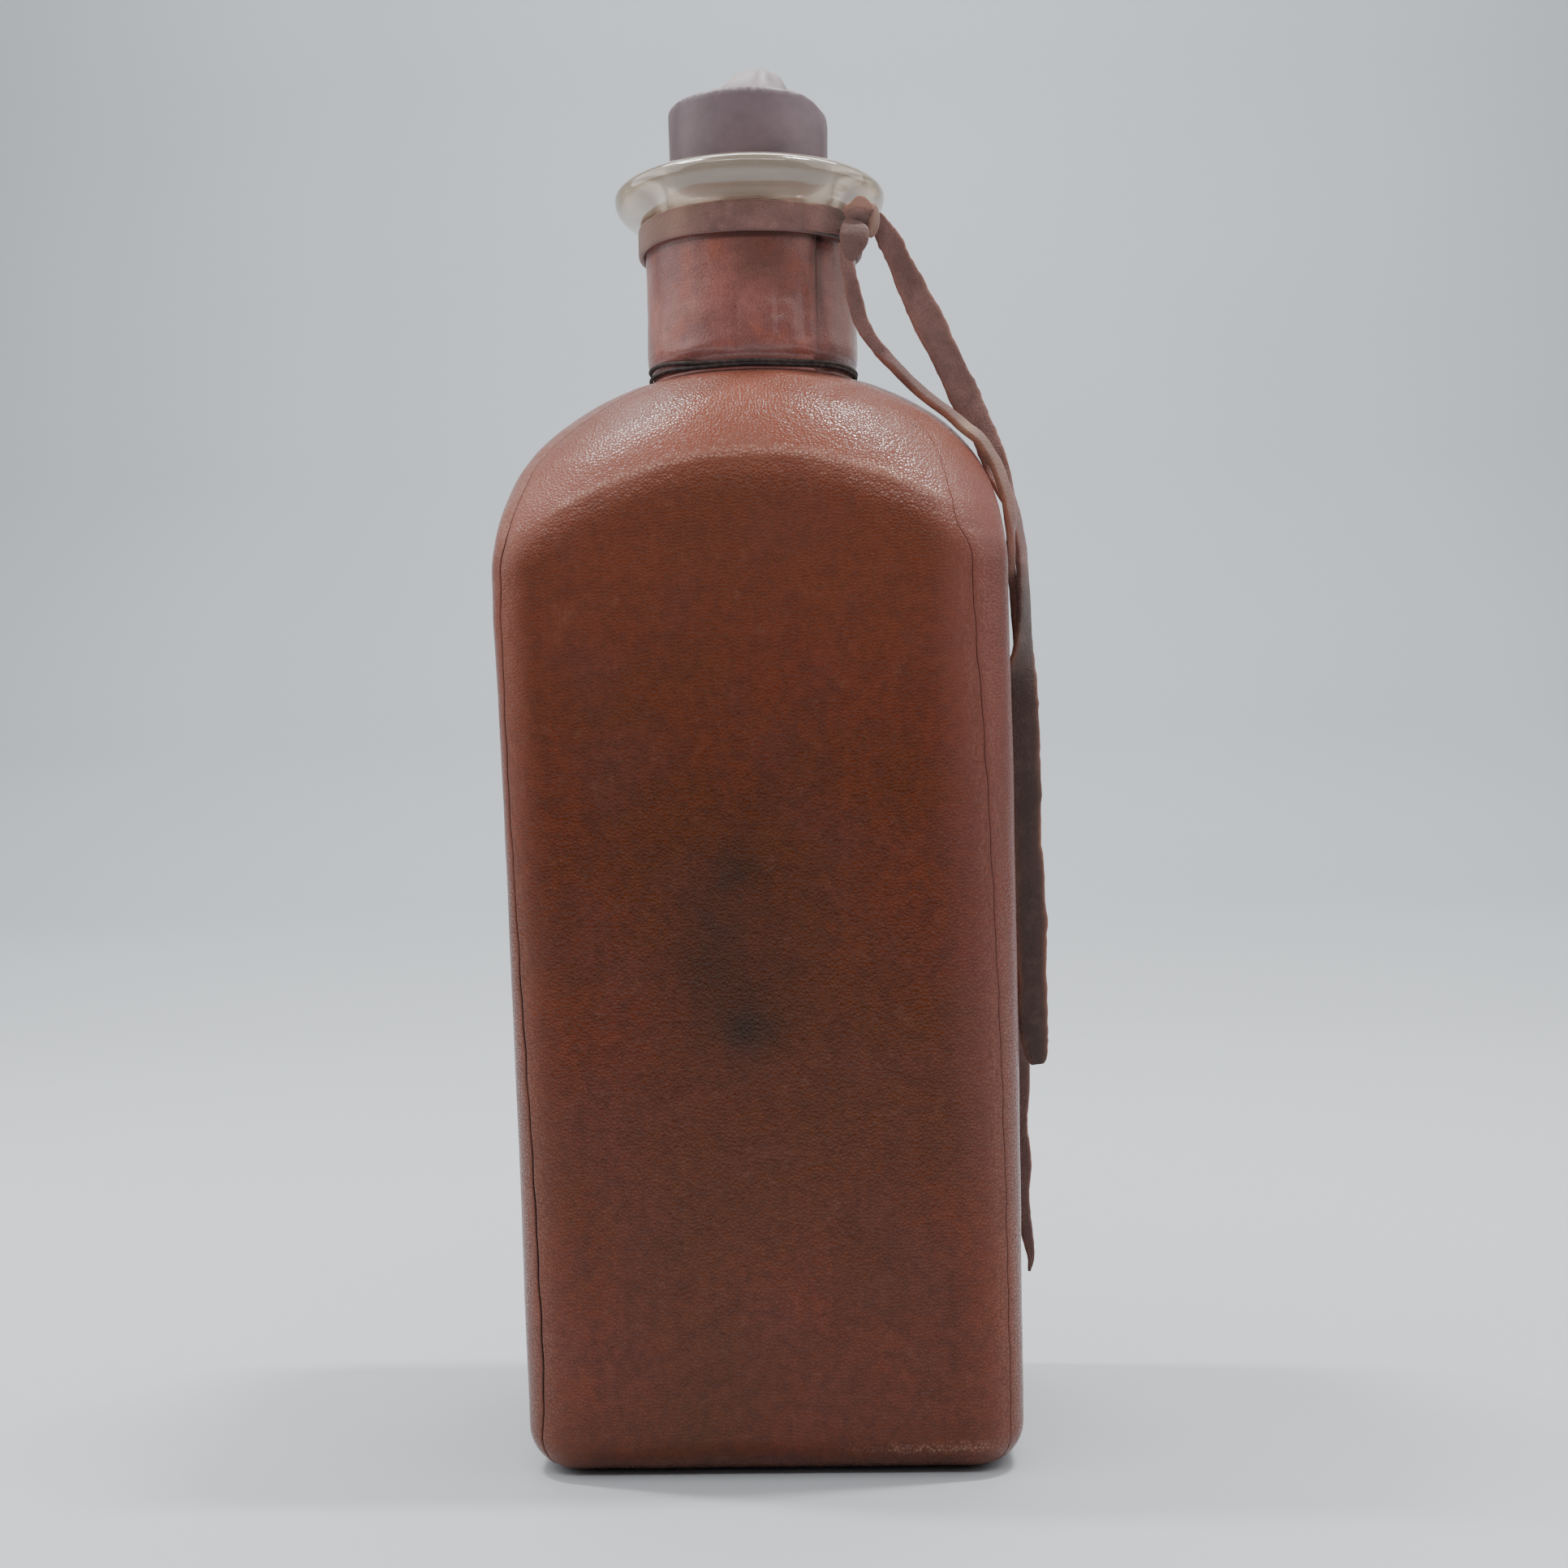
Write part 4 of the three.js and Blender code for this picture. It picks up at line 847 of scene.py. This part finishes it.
NARROW_TAIL = [
    *faced(FRONT, (15.8, -16.6, 204.6, 1.6), (16.2, -16.3, 202.6, 1.9), (16.7, -16.0, 200.4, 2.3),
           (17.3, -15.7, 197.6, 2.5), (17.8, -15.1, 194.8, 2.7), (18.9, -14.1, 191.3, 2.5), (21.2, -12.8, 187.8, 2.3)),
    *faced(OVER, (24.3, -12.0, 184.4, 2.1), (28.2, -11.6, 180.3, 2.1), (33.2, -11.8, 176.2, 2.2),
           (36.0, -12.4, 173.5, 2.3), (38.8, -13.2, 170.8, 2.3), (41.2, -14.2, 166.3, 2.2), (42.6, -15.4, 161.6, 2.1)),
    *faced(HALF, (43.2, -16.0, 157.4, 2.1)),
    *faced(OUT, (43.3, -15.0, 153.0, 2.1), (43.5, -12.2, 149.0, 2.1), (44.1, -9.3, 144.5, 2.1),
           (44.5, -7.9, 139.5, 2.1), (44.7, -7.2, 134.5, 2.1), (44.6, -7.2, 122.0, 2.2), (44.4, -7.0, 106.0, 2.2),
           (44.2, -7.0, 90.0, 2.3)),
    *faced(HALF, (44.0, -7.0, 74.0, 2.7)),
    *faced(FRONT, (43.8, -7.0, 60.0, 2.8), (43.5, -7.0, 53.0, 2.4), (43.9, -7.0, 46.0, 2.6), (43.7, -7.0, 40.0, 2.0),
           (44.2, -7.0, 34.0, 1.9), (44.7, -7.0, 30.0, 1.4), (44.4, -7.0, 27.3, 0.6)),
]
print("tails through", len(WIDE_TAIL), "and", len(NARROW_TAIL), "rows")


def tail_piece(name, route, thickness, jag, seed, aged, tan, shaded):
    """A hanging tail. aged, tan and shaded say how strongly it is darkened and faded along its way; shaded is painted
    shade on its lower side.
    """
    rows, edge, middle = strap_rows(route, thickness, 8, jag, seed)
    normals = grid_normals(rows, closed=True)
    rows = rows + 0.10 * ripple(rows, 2.6, seed)[..., None] * normals
    piece = grid_piece(name + "_strap", rows, closed=True, capped=True)
    drop = np.repeat(middle[:, 2:], rows.shape[1], 1)
    # Painted shade on the lower side of the tail where it lies over the shoulder.
    underside = smooth_step(-0.7 * (normals[..., 0] + normals[..., 2]), 0.3, 0.7) * bell(drop, 169, 11, 4)
    store(piece, cut=edge * (1 - aged * bell(drop, 145, 10, 4)),
          dark=np.maximum(aged * (1 - smooth_step(drop, 143, 153)), shaded * underside),
          beige=tan * (bell(drop, 173.2, 1.1) + 0.45 * bell(drop, 166, 9)))
    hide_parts(name)
    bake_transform(piece)
    return piece


wide_tail = tail_piece("wide_tail", WIDE_TAIL, 1.3, 0.16, 0.7, aged=0.85, tan=0.0, shaded=0.0)
narrow_tail = tail_piece("narrow_tail", NARROW_TAIL, 1.5, 0.20, 5.2, aged=0.4, tan=0.9, shaded=0.85)

# %% [markdown]
# ## Finishes
# A finish is a tree of shader nodes. Two small classes keep the trees short: one adds nodes to any
# tree, and one builds a material by laying colours over each other, each through a mask.

# %% Helpers for finishes
class Nodes:
    """A node tree in the making."""

    def __init__(self, tree):
        self.tree = tree

    def add(self, kind, inputs, **settings):
        """Adds a node and gives its outputs. Each input is another node's output, or a constant."""
        made = self.tree.nodes.new("ShaderNode" + kind)
        for key, value in settings.items():
            setattr(made, key, value)
        for key, value in inputs.items():
            if isinstance(value, bpy.types.NodeSocket):
                self.tree.links.new(value, made.inputs[key])
            else:
                made.inputs[key].default_value = (*value, 1) if made.inputs[key].type == "RGBA" else value
        return made.outputs

    def math(self, operation, a, b, clamp=False):
        return self.add("Math", {0: a, 1: b}, operation=operation, use_clamp=clamp)[0]

    def times(self, a, b):
        return self.math("MULTIPLY", a, b)

    def total(self, start, *terms):
        """A start value, plus each mask times its share."""
        for mask, share in terms:
            start = self.add("Math", {0: mask, 1: share, 2: start}, operation="MULTIPLY_ADD")[0]
        return start

    def ramp(self, value, low, high):
        inputs = {"Value": value, "From Min": low, "From Max": high}
        return self.add("MapRange", inputs, interpolation_type="SMOOTHSTEP")[0]

    def noise(self, place, scale, detail, roughness):
        return self.add("TexNoise", {"Vector": place, "Scale": scale, "Detail": detail, "Roughness": roughness})


def node_group(name, inputs, outputs):
    """A new node group: its nodes, what comes in and what goes out."""
    group = bpy.data.node_groups.new(name, "ShaderNodeTree")
    for socket, kind in inputs.items():
        group.interface.new_socket(socket, in_out="INPUT", socket_type="NodeSocket" + kind)
    for socket in outputs:
        group.interface.new_socket(socket, in_out="OUTPUT", socket_type="NodeSocketFloat")
    return Nodes(group), group.nodes.new("NodeGroupInput").outputs, group.nodes.new("NodeGroupOutput").inputs


# %% [markdown]
# Leather shows its grain as small pebbles with creases between them. Every leather here has it, so
# it is a node group: a Voronoi pattern for the pebbles, broken up by noise, put out as a height for
# the bump, as a mask of the creases and as a slow mottle.

# %% Grain group
grain, given, result = node_group(
    "leather grain", {"Vector": "Vector", "Pebbles per metre": "Float"}, ("Height", "Crease", "Mottle"))
place, pebbles = given[0], given[1]
cells = {"Vector": place, "Scale": pebbles, "Randomness": 0.9}
to_crack = grain.add("TexVoronoi", cells, feature="DISTANCE_TO_EDGE")["Distance"]
crease = grain.math("SUBTRACT", 1.0, grain.ramp(to_crack, 0.0, 0.16))
dome = grain.math("SUBTRACT", 1.0, grain.add("TexVoronoi", cells)["Distance"])
fine = grain.noise(place, grain.times(pebbles, 0.33), 4.0, 0.65)[0]
mottle = grain.noise(place, grain.times(pebbles, 0.035), 5.0, 0.6)[0]
height = grain.total(0.0, (dome, 0.6), (fine, 0.8), (crease, -0.25))
for socket, value in (("Height", height), ("Crease", crease), ("Mottle", mottle)):
    grain.tree.links.new(value, result[socket])
print("grain group", len(grain.tree.nodes), "nodes")


# %% Material class
class Finish(Nodes):
    """A material in the making, with the colour that it has so far."""

    def __init__(self, name, roughness, **sockets):
        self.material = bpy.data.materials.new(name)
        self.material.use_nodes = True
        super().__init__(self.material.node_tree)
        self.shader = self.tree.nodes["Principled BSDF"].inputs
        for key, value in {"Roughness": roughness, **sockets}.items():
            self.shader[key.replace("_", " ")].default_value = value
        self.place = self.add("TexCoord", {})["Object"]

    def skin(self, pebbles):
        inputs = {"Vector": self.place, "Pebbles per metre": pebbles}
        return self.add("Group", inputs, node_tree=grain.tree)

    def clouds(self, scale, detail, roughness):
        return self.noise(self.place, scale, detail, roughness)[0]

    def painted(self, name):
        return self.add("Attribute", {}, attribute_name=name)["Fac"]

    def mix(self, mask, under, over):
        self.colour = self.add("Mix", {0: mask, 6: under, 7: over}, data_type="RGBA")[2]

    def lay(self, mask, share, over):
        self.mix(self.times(mask, share), self.colour, over)

    def dress(self, *pieces, gloss=None, height=None, strength=0.6, depth=0.14):
        """Joins colour, roughness and bump (depth in mm) to the shader, and puts the material on pieces."""
        joined = {"Base Color": self.colour, "Roughness": gloss}
        if height is not None:
            bump = {"Strength": strength, "Distance": depth * MM, "Height": height}
            joined["Normal"] = self.add("Bump", bump)[0]
        for key, value in joined.items():
            if value is not None:
                self.tree.links.new(value, self.shader[key])
        for piece in pieces:
            piece.data.materials.clear()
            piece.data.materials.append(self.material)
        print(self.material.name, len(self.tree.nodes), "nodes")


# %% [markdown]
# Old leather cracks where it bends. A crack is a thin tapered line between two points, bent by noise,
# and it is a node group because there are several.

# %% Crack group
crack_mark, given, result = node_group(
    "crack mark", {"Vector": "Vector", "From": "Vector", "To": "Vector", "Width": "Float"}, ("Mask",))
CRACK_BEND = (0.0012, 0.0012, 0.0012)


def vector_math(operation, a, b):
    return crack_mark.add("VectorMath", {0: a, 1: b}, operation=operation)


wander = crack_mark.noise(given["Vector"], 700.0, 2.0, 0.5)["Color"]
shift = vector_math("MULTIPLY", vector_math("SUBTRACT", wander, (0.5, 0.5, 0.5))[0], CRACK_BEND)[0]
bent_place = vector_math("ADD", given["Vector"], shift)[0]
from_start = vector_math("SUBTRACT", bent_place, given["From"])[0]
whole = vector_math("SUBTRACT", given["To"], given["From"])[0]
share = crack_mark.math("DIVIDE", vector_math("DOT_PRODUCT", from_start, whole)[1],
                        vector_math("DOT_PRODUCT", whole, whole)[1], clamp=True)
nearest = crack_mark.add("VectorMath", {0: whole, 3: share}, operation="SCALE")[0]
away = vector_math("DISTANCE", from_start, nearest)[1]
taper = crack_mark.times(share, crack_mark.math("SUBTRACT", 1.0, share))
reach = crack_mark.times(given["Width"], crack_mark.total(0.05, (taper, 4.0)))
mask = crack_mark.math("SUBTRACT", 1.0, crack_mark.math("DIVIDE", away, reach), clamp=True)
crack_mark.tree.links.new(mask, result["Mask"])
print("crack group", len(crack_mark.tree.nodes), "nodes")

# %% [markdown]
# The body leather is dark chestnut with redder and greyer clouds. Rolled seam edges and a few scuffs are
# worn paler, and the line where the flat front turns into the shoulder is worn paler and carries a
# painted highlight, as does the rim under the cord. Painted light makes the shoulder, the top of the
# front, the corners and the gussets lighter, and painted sheen pales the right side of the front. The
# seams and the foot are darker, painted shade darkens the edge under the cord, and an old soft stain
# darkens the middle of the front.

# %% Body leather
# Each crack: its two ends and its width, in mm.
CRACKS = [
    ((25.6, -20.6, 173.4), (30.0, -20.6, 171.2), 0.34), ((33.6, -32.7, 151.8), (35.0, -32.4, 147.8), 0.26),
    ((34.9, -32.6, 148.2), (36.6, -32.2, 145.0), 0.22), ((-42.6, -26.0, 111.8), (-41.2, -29.6, 110.8), 0.35),
]
# Patches, specks, blots and rubs: scale, detail and roughness of the noise, its range, share and colour.
BODY_MARKS = [
    (62.0, 2.0, 0.5, 0.48, 0.68, 0.4, (0.145, 0.033, 0.020)),
    (520.0, 6.0, 0.75, 0.42, 0.62, 0.42, (0.055, 0.013, 0.005)),
    (210.0, 4.0, 0.65, 0.45, 0.62, 0.32, (0.062, 0.015, 0.006)),
    (330.0, 5.0, 0.7, 0.56, 0.72, 0.3, (0.20, 0.075, 0.042)),
]
body = Finish("body_leather", 0.4, Sheen_Weight=0.06, Sheen_Roughness=0.4, Specular_IOR_Level=0.34)
skin = body.skin(1800)
clouds, red = body.clouds(26.0, 6.0, 0.62), body.clouds(48.0, 3.0, 0.5)
body.mix(body.ramp(clouds, 0.3, 0.72), (0.112, 0.0265, 0.005), (0.154, 0.027, 0.009))
body.lay(body.ramp(red, 0.45, 0.75), 0.3, (0.20, 0.036, 0.008))
body.lay(body.ramp(skin["Mottle"], 0.45, 0.75), 0.3, (0.075, 0.022, 0.012))
for scale, detail, roughness, low, high, share, colour in BODY_MARKS:
    body.lay(body.ramp(body.clouds(scale, detail, roughness), low, high), share, colour)
# Painted light: the shoulder, the top of the front, the corners and the gussets made lighter.
body.lay(body.painted("upper"), 0.74, (0.33, 0.096, 0.060))
# Painted sheen on the right side of the front.
body.lay(body.painted("flush"), 0.4, (0.20, 0.072, 0.066))
body.lay(skin["Crease"], 0.22, (0.03, 0.010, 0.006))
# Worn paler: scuffs, rolled seam edges and the arch's bead; painted highlight along the arch and on the rim under the
# cord.
worn = body.total(body.times(body.painted("worn"), 0.8), (body.painted("rolled"), 0.16))
body.lay(worn, body.ramp(skin["Height"], 0.45, 0.95), (0.45, 0.24, 0.17))
body.lay(body.painted("stain"), body.ramp(clouds, 0.15, 0.6), (0.022, 0.011, 0.005))

# Darker: the seams, painted shade on the edge under the cord, a mottled foot, and the cracks.
seam = body.painted("seam")
dark = body.times(seam, body.math("ADD", 0.15, body.ramp(red, 0.35, 0.62)))
dark = body.total(dark, (body.times(body.painted("foot"), body.ramp(red, 0.4, 0.65)), 0.3))
for start, end, width in CRACKS:
    ends = {"From": Vector(start) * MM, "To": Vector(end) * MM, "Width": width * MM}
    crack = body.add("Group", {"Vector": body.place, **ends}, node_tree=crack_mark.tree)["Mask"]
    dark = body.math("ADD", dark, crack, clamp=True)
body.mix(dark, body.colour, (0.026, 0.009, 0.006))
gloss = body.total(0.10, (skin["Mottle"], 0.18), (skin["Crease"], 0.3))
gloss = body.math("ADD", gloss, body.times(seam, 0.5), clamp=True)
body.dress(*body_pieces, base_panel, gloss=gloss, height=skin["Height"])

# %% [markdown]
# The sleeve's leather is lighter, pinkish and orange-brown, with painted shade high in front, painted
# sheen on its right past the lap, a dark line where it laps and a painted shadow line under the band.
# The thong is a greyer brown, its cut edges are raw and pink, and the tab on the knot shows the orange
# inside of the hide. Painted shade darkens the band beside the knot, the strip going into the knot,
# the fold under the tab and the narrow tail's lower side.

# %% Neck and thong leather
neck = Finish("neck_leather", 0.45, Sheen_Weight=0.12, Sheen_Roughness=0.45)
skin = neck.skin(1700)
neck.mix(neck.ramp(neck.clouds(90.0, 5.0, 0.6), 0.35, 0.68), (0.26, 0.096, 0.084), (0.42, 0.158, 0.127))
neck.lay(neck.ramp(neck.clouds(150.0, 4.0, 0.55), 0.50, 0.72), 0.5, (0.46, 0.118, 0.060))
neck.lay(neck.ramp(neck.clouds(330.0, 4.0, 0.65), 0.44, 0.66), 0.22, (0.15, 0.062, 0.056))
neck.lay(neck.painted("shade"), 0.65, (0.085, 0.038, 0.030))
# Painted sheen on the right of the sleeve, past the lap.
neck.lay(neck.painted("pale"), 0.6, (0.20, 0.125, 0.105))
neck.lay(skin["Crease"], 0.25, (0.04, 0.014, 0.009))
# A dark line at the lap, and a painted shadow line under the band.
neck.lay(neck.painted("lap"), 0.75, (0.03, 0.013, 0.010))
gloss = neck.total(0.17, (skin["Mottle"], 0.22))
neck.dress(neck_sleeve, gloss=gloss, height=skin["Height"], strength=0.5, depth=0.08)

thong = Finish("thong_leather", 0.65, Sheen_Weight=0.2, Sheen_Roughness=0.5)
skin = thong.skin(1900)
thong.mix(thong.ramp(thong.clouds(140.0, 5.0, 0.62), 0.35, 0.68), (0.155, 0.066, 0.056), (0.27, 0.126, 0.107))
thong.lay(skin["Crease"], 0.3, (0.04, 0.018, 0.014))
# Darker: the knot's folds and the lower wide tail, and painted shade beside the knot, in the tab's fold and under the
# narrow tail.
thong.mix(thong.painted("dark"), thong.colour, (0.038, 0.020, 0.014))
thong.lay(thong.ramp(thong.clouds(360.0, 4.0, 0.65), 0.48, 0.68), 0.35, (0.13, 0.075, 0.056))
raw = thong.times(thong.painted("cut"), thong.ramp(skin["Mottle"], 0.25, 0.65))
thong.lay(raw, 0.85, (0.48, 0.195, 0.125))
thong.lay(thong.painted("beige"), 0.7, (0.40, 0.24, 0.155))
gloss = thong.total(0.5, (skin["Mottle"], 0.25))
thong.dress(thong_band, thong_knot, wide_tail, narrow_tail, gloss=gloss, height=skin["Height"])

# %% [markdown]
# Waxed thread and black cord are dull and dark, with a slight lay along the strands.

# %% Cord and thread
def dress_cord(name, dark, light, *pieces):
    cord = Finish(name, 0.75)
    strands = cord.clouds(900.0, 4.0, 0.6)
    cord.mix(cord.ramp(strands, 0.35, 0.7), dark, light)
    cord.dress(*pieces, height=strands, depth=0.2)


dress_cord("black_cord", (0.016, 0.010, 0.009), (0.075, 0.045, 0.040), neck_binding, binding_knot)
dress_cord("seam_thread", (0.035, 0.013, 0.009), (0.085, 0.032, 0.021), *seam_threads)

# %% [markdown]
# The lip's glass is clear but milky from years of use, and the stopper is frosted grey. Both let
# light through and scatter it: transmission with some roughness. A faint clouding changes the
# roughness over the surface. A painted highlight, broken into dashes, runs along the stopper's rim,
# and its pointed tip is paler.

# %% Glass
def dress_glass(name, piece, tint, bloom, roughness, spread, clear, polish):
    """Glass from a tint to a milky bloom. spread varies its roughness, clear and polish are weights."""
    glass = Finish(name, roughness, IOR=1.5, Transmission_Weight=clear, Coat_Weight=polish, Coat_Roughness=0.04)
    clouds = glass.clouds(160.0, 5.0, 0.6)
    glass.mix(glass.ramp(clouds, 0.3, 0.7), tint, tuple(min(1, v * bloom) for v in tint))
    glass.mix(glass.painted("ground"), glass.colour, (0.34, 0.26, 0.27))
    # A painted highlight on the stopper's rim, broken by noise into chips and glints, and a paler tip.
    chips_and_glints = glass.ramp(glass.clouds(800.0, 3.0, 0.6), 0.38, 0.62)
    pale = glass.total(glass.painted("tip"), (glass.times(glass.painted("rim"), chips_and_glints), 0.45))
    glass.mix(pale, glass.colour, (0.70, 0.62, 0.64))
    glass.dress(piece, gloss=glass.total(roughness, (clouds, spread)))


dress_glass("clear_glass", glass_bottle, (0.90, 0.75, 0.58), 1.1, 0.08, 0.10, 0.76, 0.8)
dress_glass("frosted_glass", glass_stopper, (0.185, 0.128, 0.142), 1.45, 0.34, 0.2, 0.25, 0.0)

# %% [markdown]
# ## Floor and light
# A pale floor that curves up behind keeps the background plain. Two large soft lights stand at the
# sides, two hang above and a little behind the flask for the gloss on the shoulders, a weak one in
# front keeps the dark leather readable, and one lights the backdrop.

# %% Floor and lights
FLOOR_LINE = [(-3000, 0), (600, 0), (1000, 30), (1300, 150), (1500, 400), (1600, 800), (1620, 3000)]
floor = grid_piece("floor", np.array([[(x, y, z) for x in (-3000, 3000)] for y, z in FLOOR_LINE], float))
paper = Finish("floor_finish", 0.8)
paper.mix(paper.clouds(3.0, 2.0, 0.5), (0.60, 0.64, 0.68), (0.66, 0.70, 0.74))
paper.dress(floor)

LIGHTS = [  # name, place, aim, size and power
    ("left_light", (-0.75, -0.1, 0.7), (0, 0, 0.12), (1.1, 1.1), 5.9),
    ("right_light", (0.75, -0.1, 0.7), (0, 0, 0.12), (1.1, 1.1), 4.6),
    ("top_left_light", (-0.35, 0.06, 0.97), (0, 0, 0.17), (0.04, 0.18), 4.2),
    ("top_right_light", (0.29, 0.02, 0.97), (0, 0, 0.17), (0.04, 0.17), 5.3),
    ("front_light", (0.0, -0.68, 0.85), (0, 0, 0.17), (1.0, 0.06), 3),
    ("backdrop_light", (0.0, 0.7, 1.5), (0, 1.4, 0.3), (1.5, 0.4), 18),
]
for name, place, aim, size, power in LIGHTS:
    lamp = bpy.data.lights.new(name, "AREA")
    lamp.shape = "RECTANGLE"
    lamp.size, lamp.size_y = size
    lamp.energy = power
    light = link(name, lamp)
    light.location = place
    light.rotation_euler = (Vector(aim) - Vector(place)).to_track_quat("-Z", "Y").to_euler()
world = bpy.data.worlds.new("room")
world.use_nodes = True
world.node_tree.nodes["Background"].inputs["Color"].default_value = (0.80, 0.80, 0.82, 1)
world.node_tree.nodes["Background"].inputs["Strength"].default_value = 0.10
bpy.context.scene.world = world
print("lights", len(bpy.data.lights))
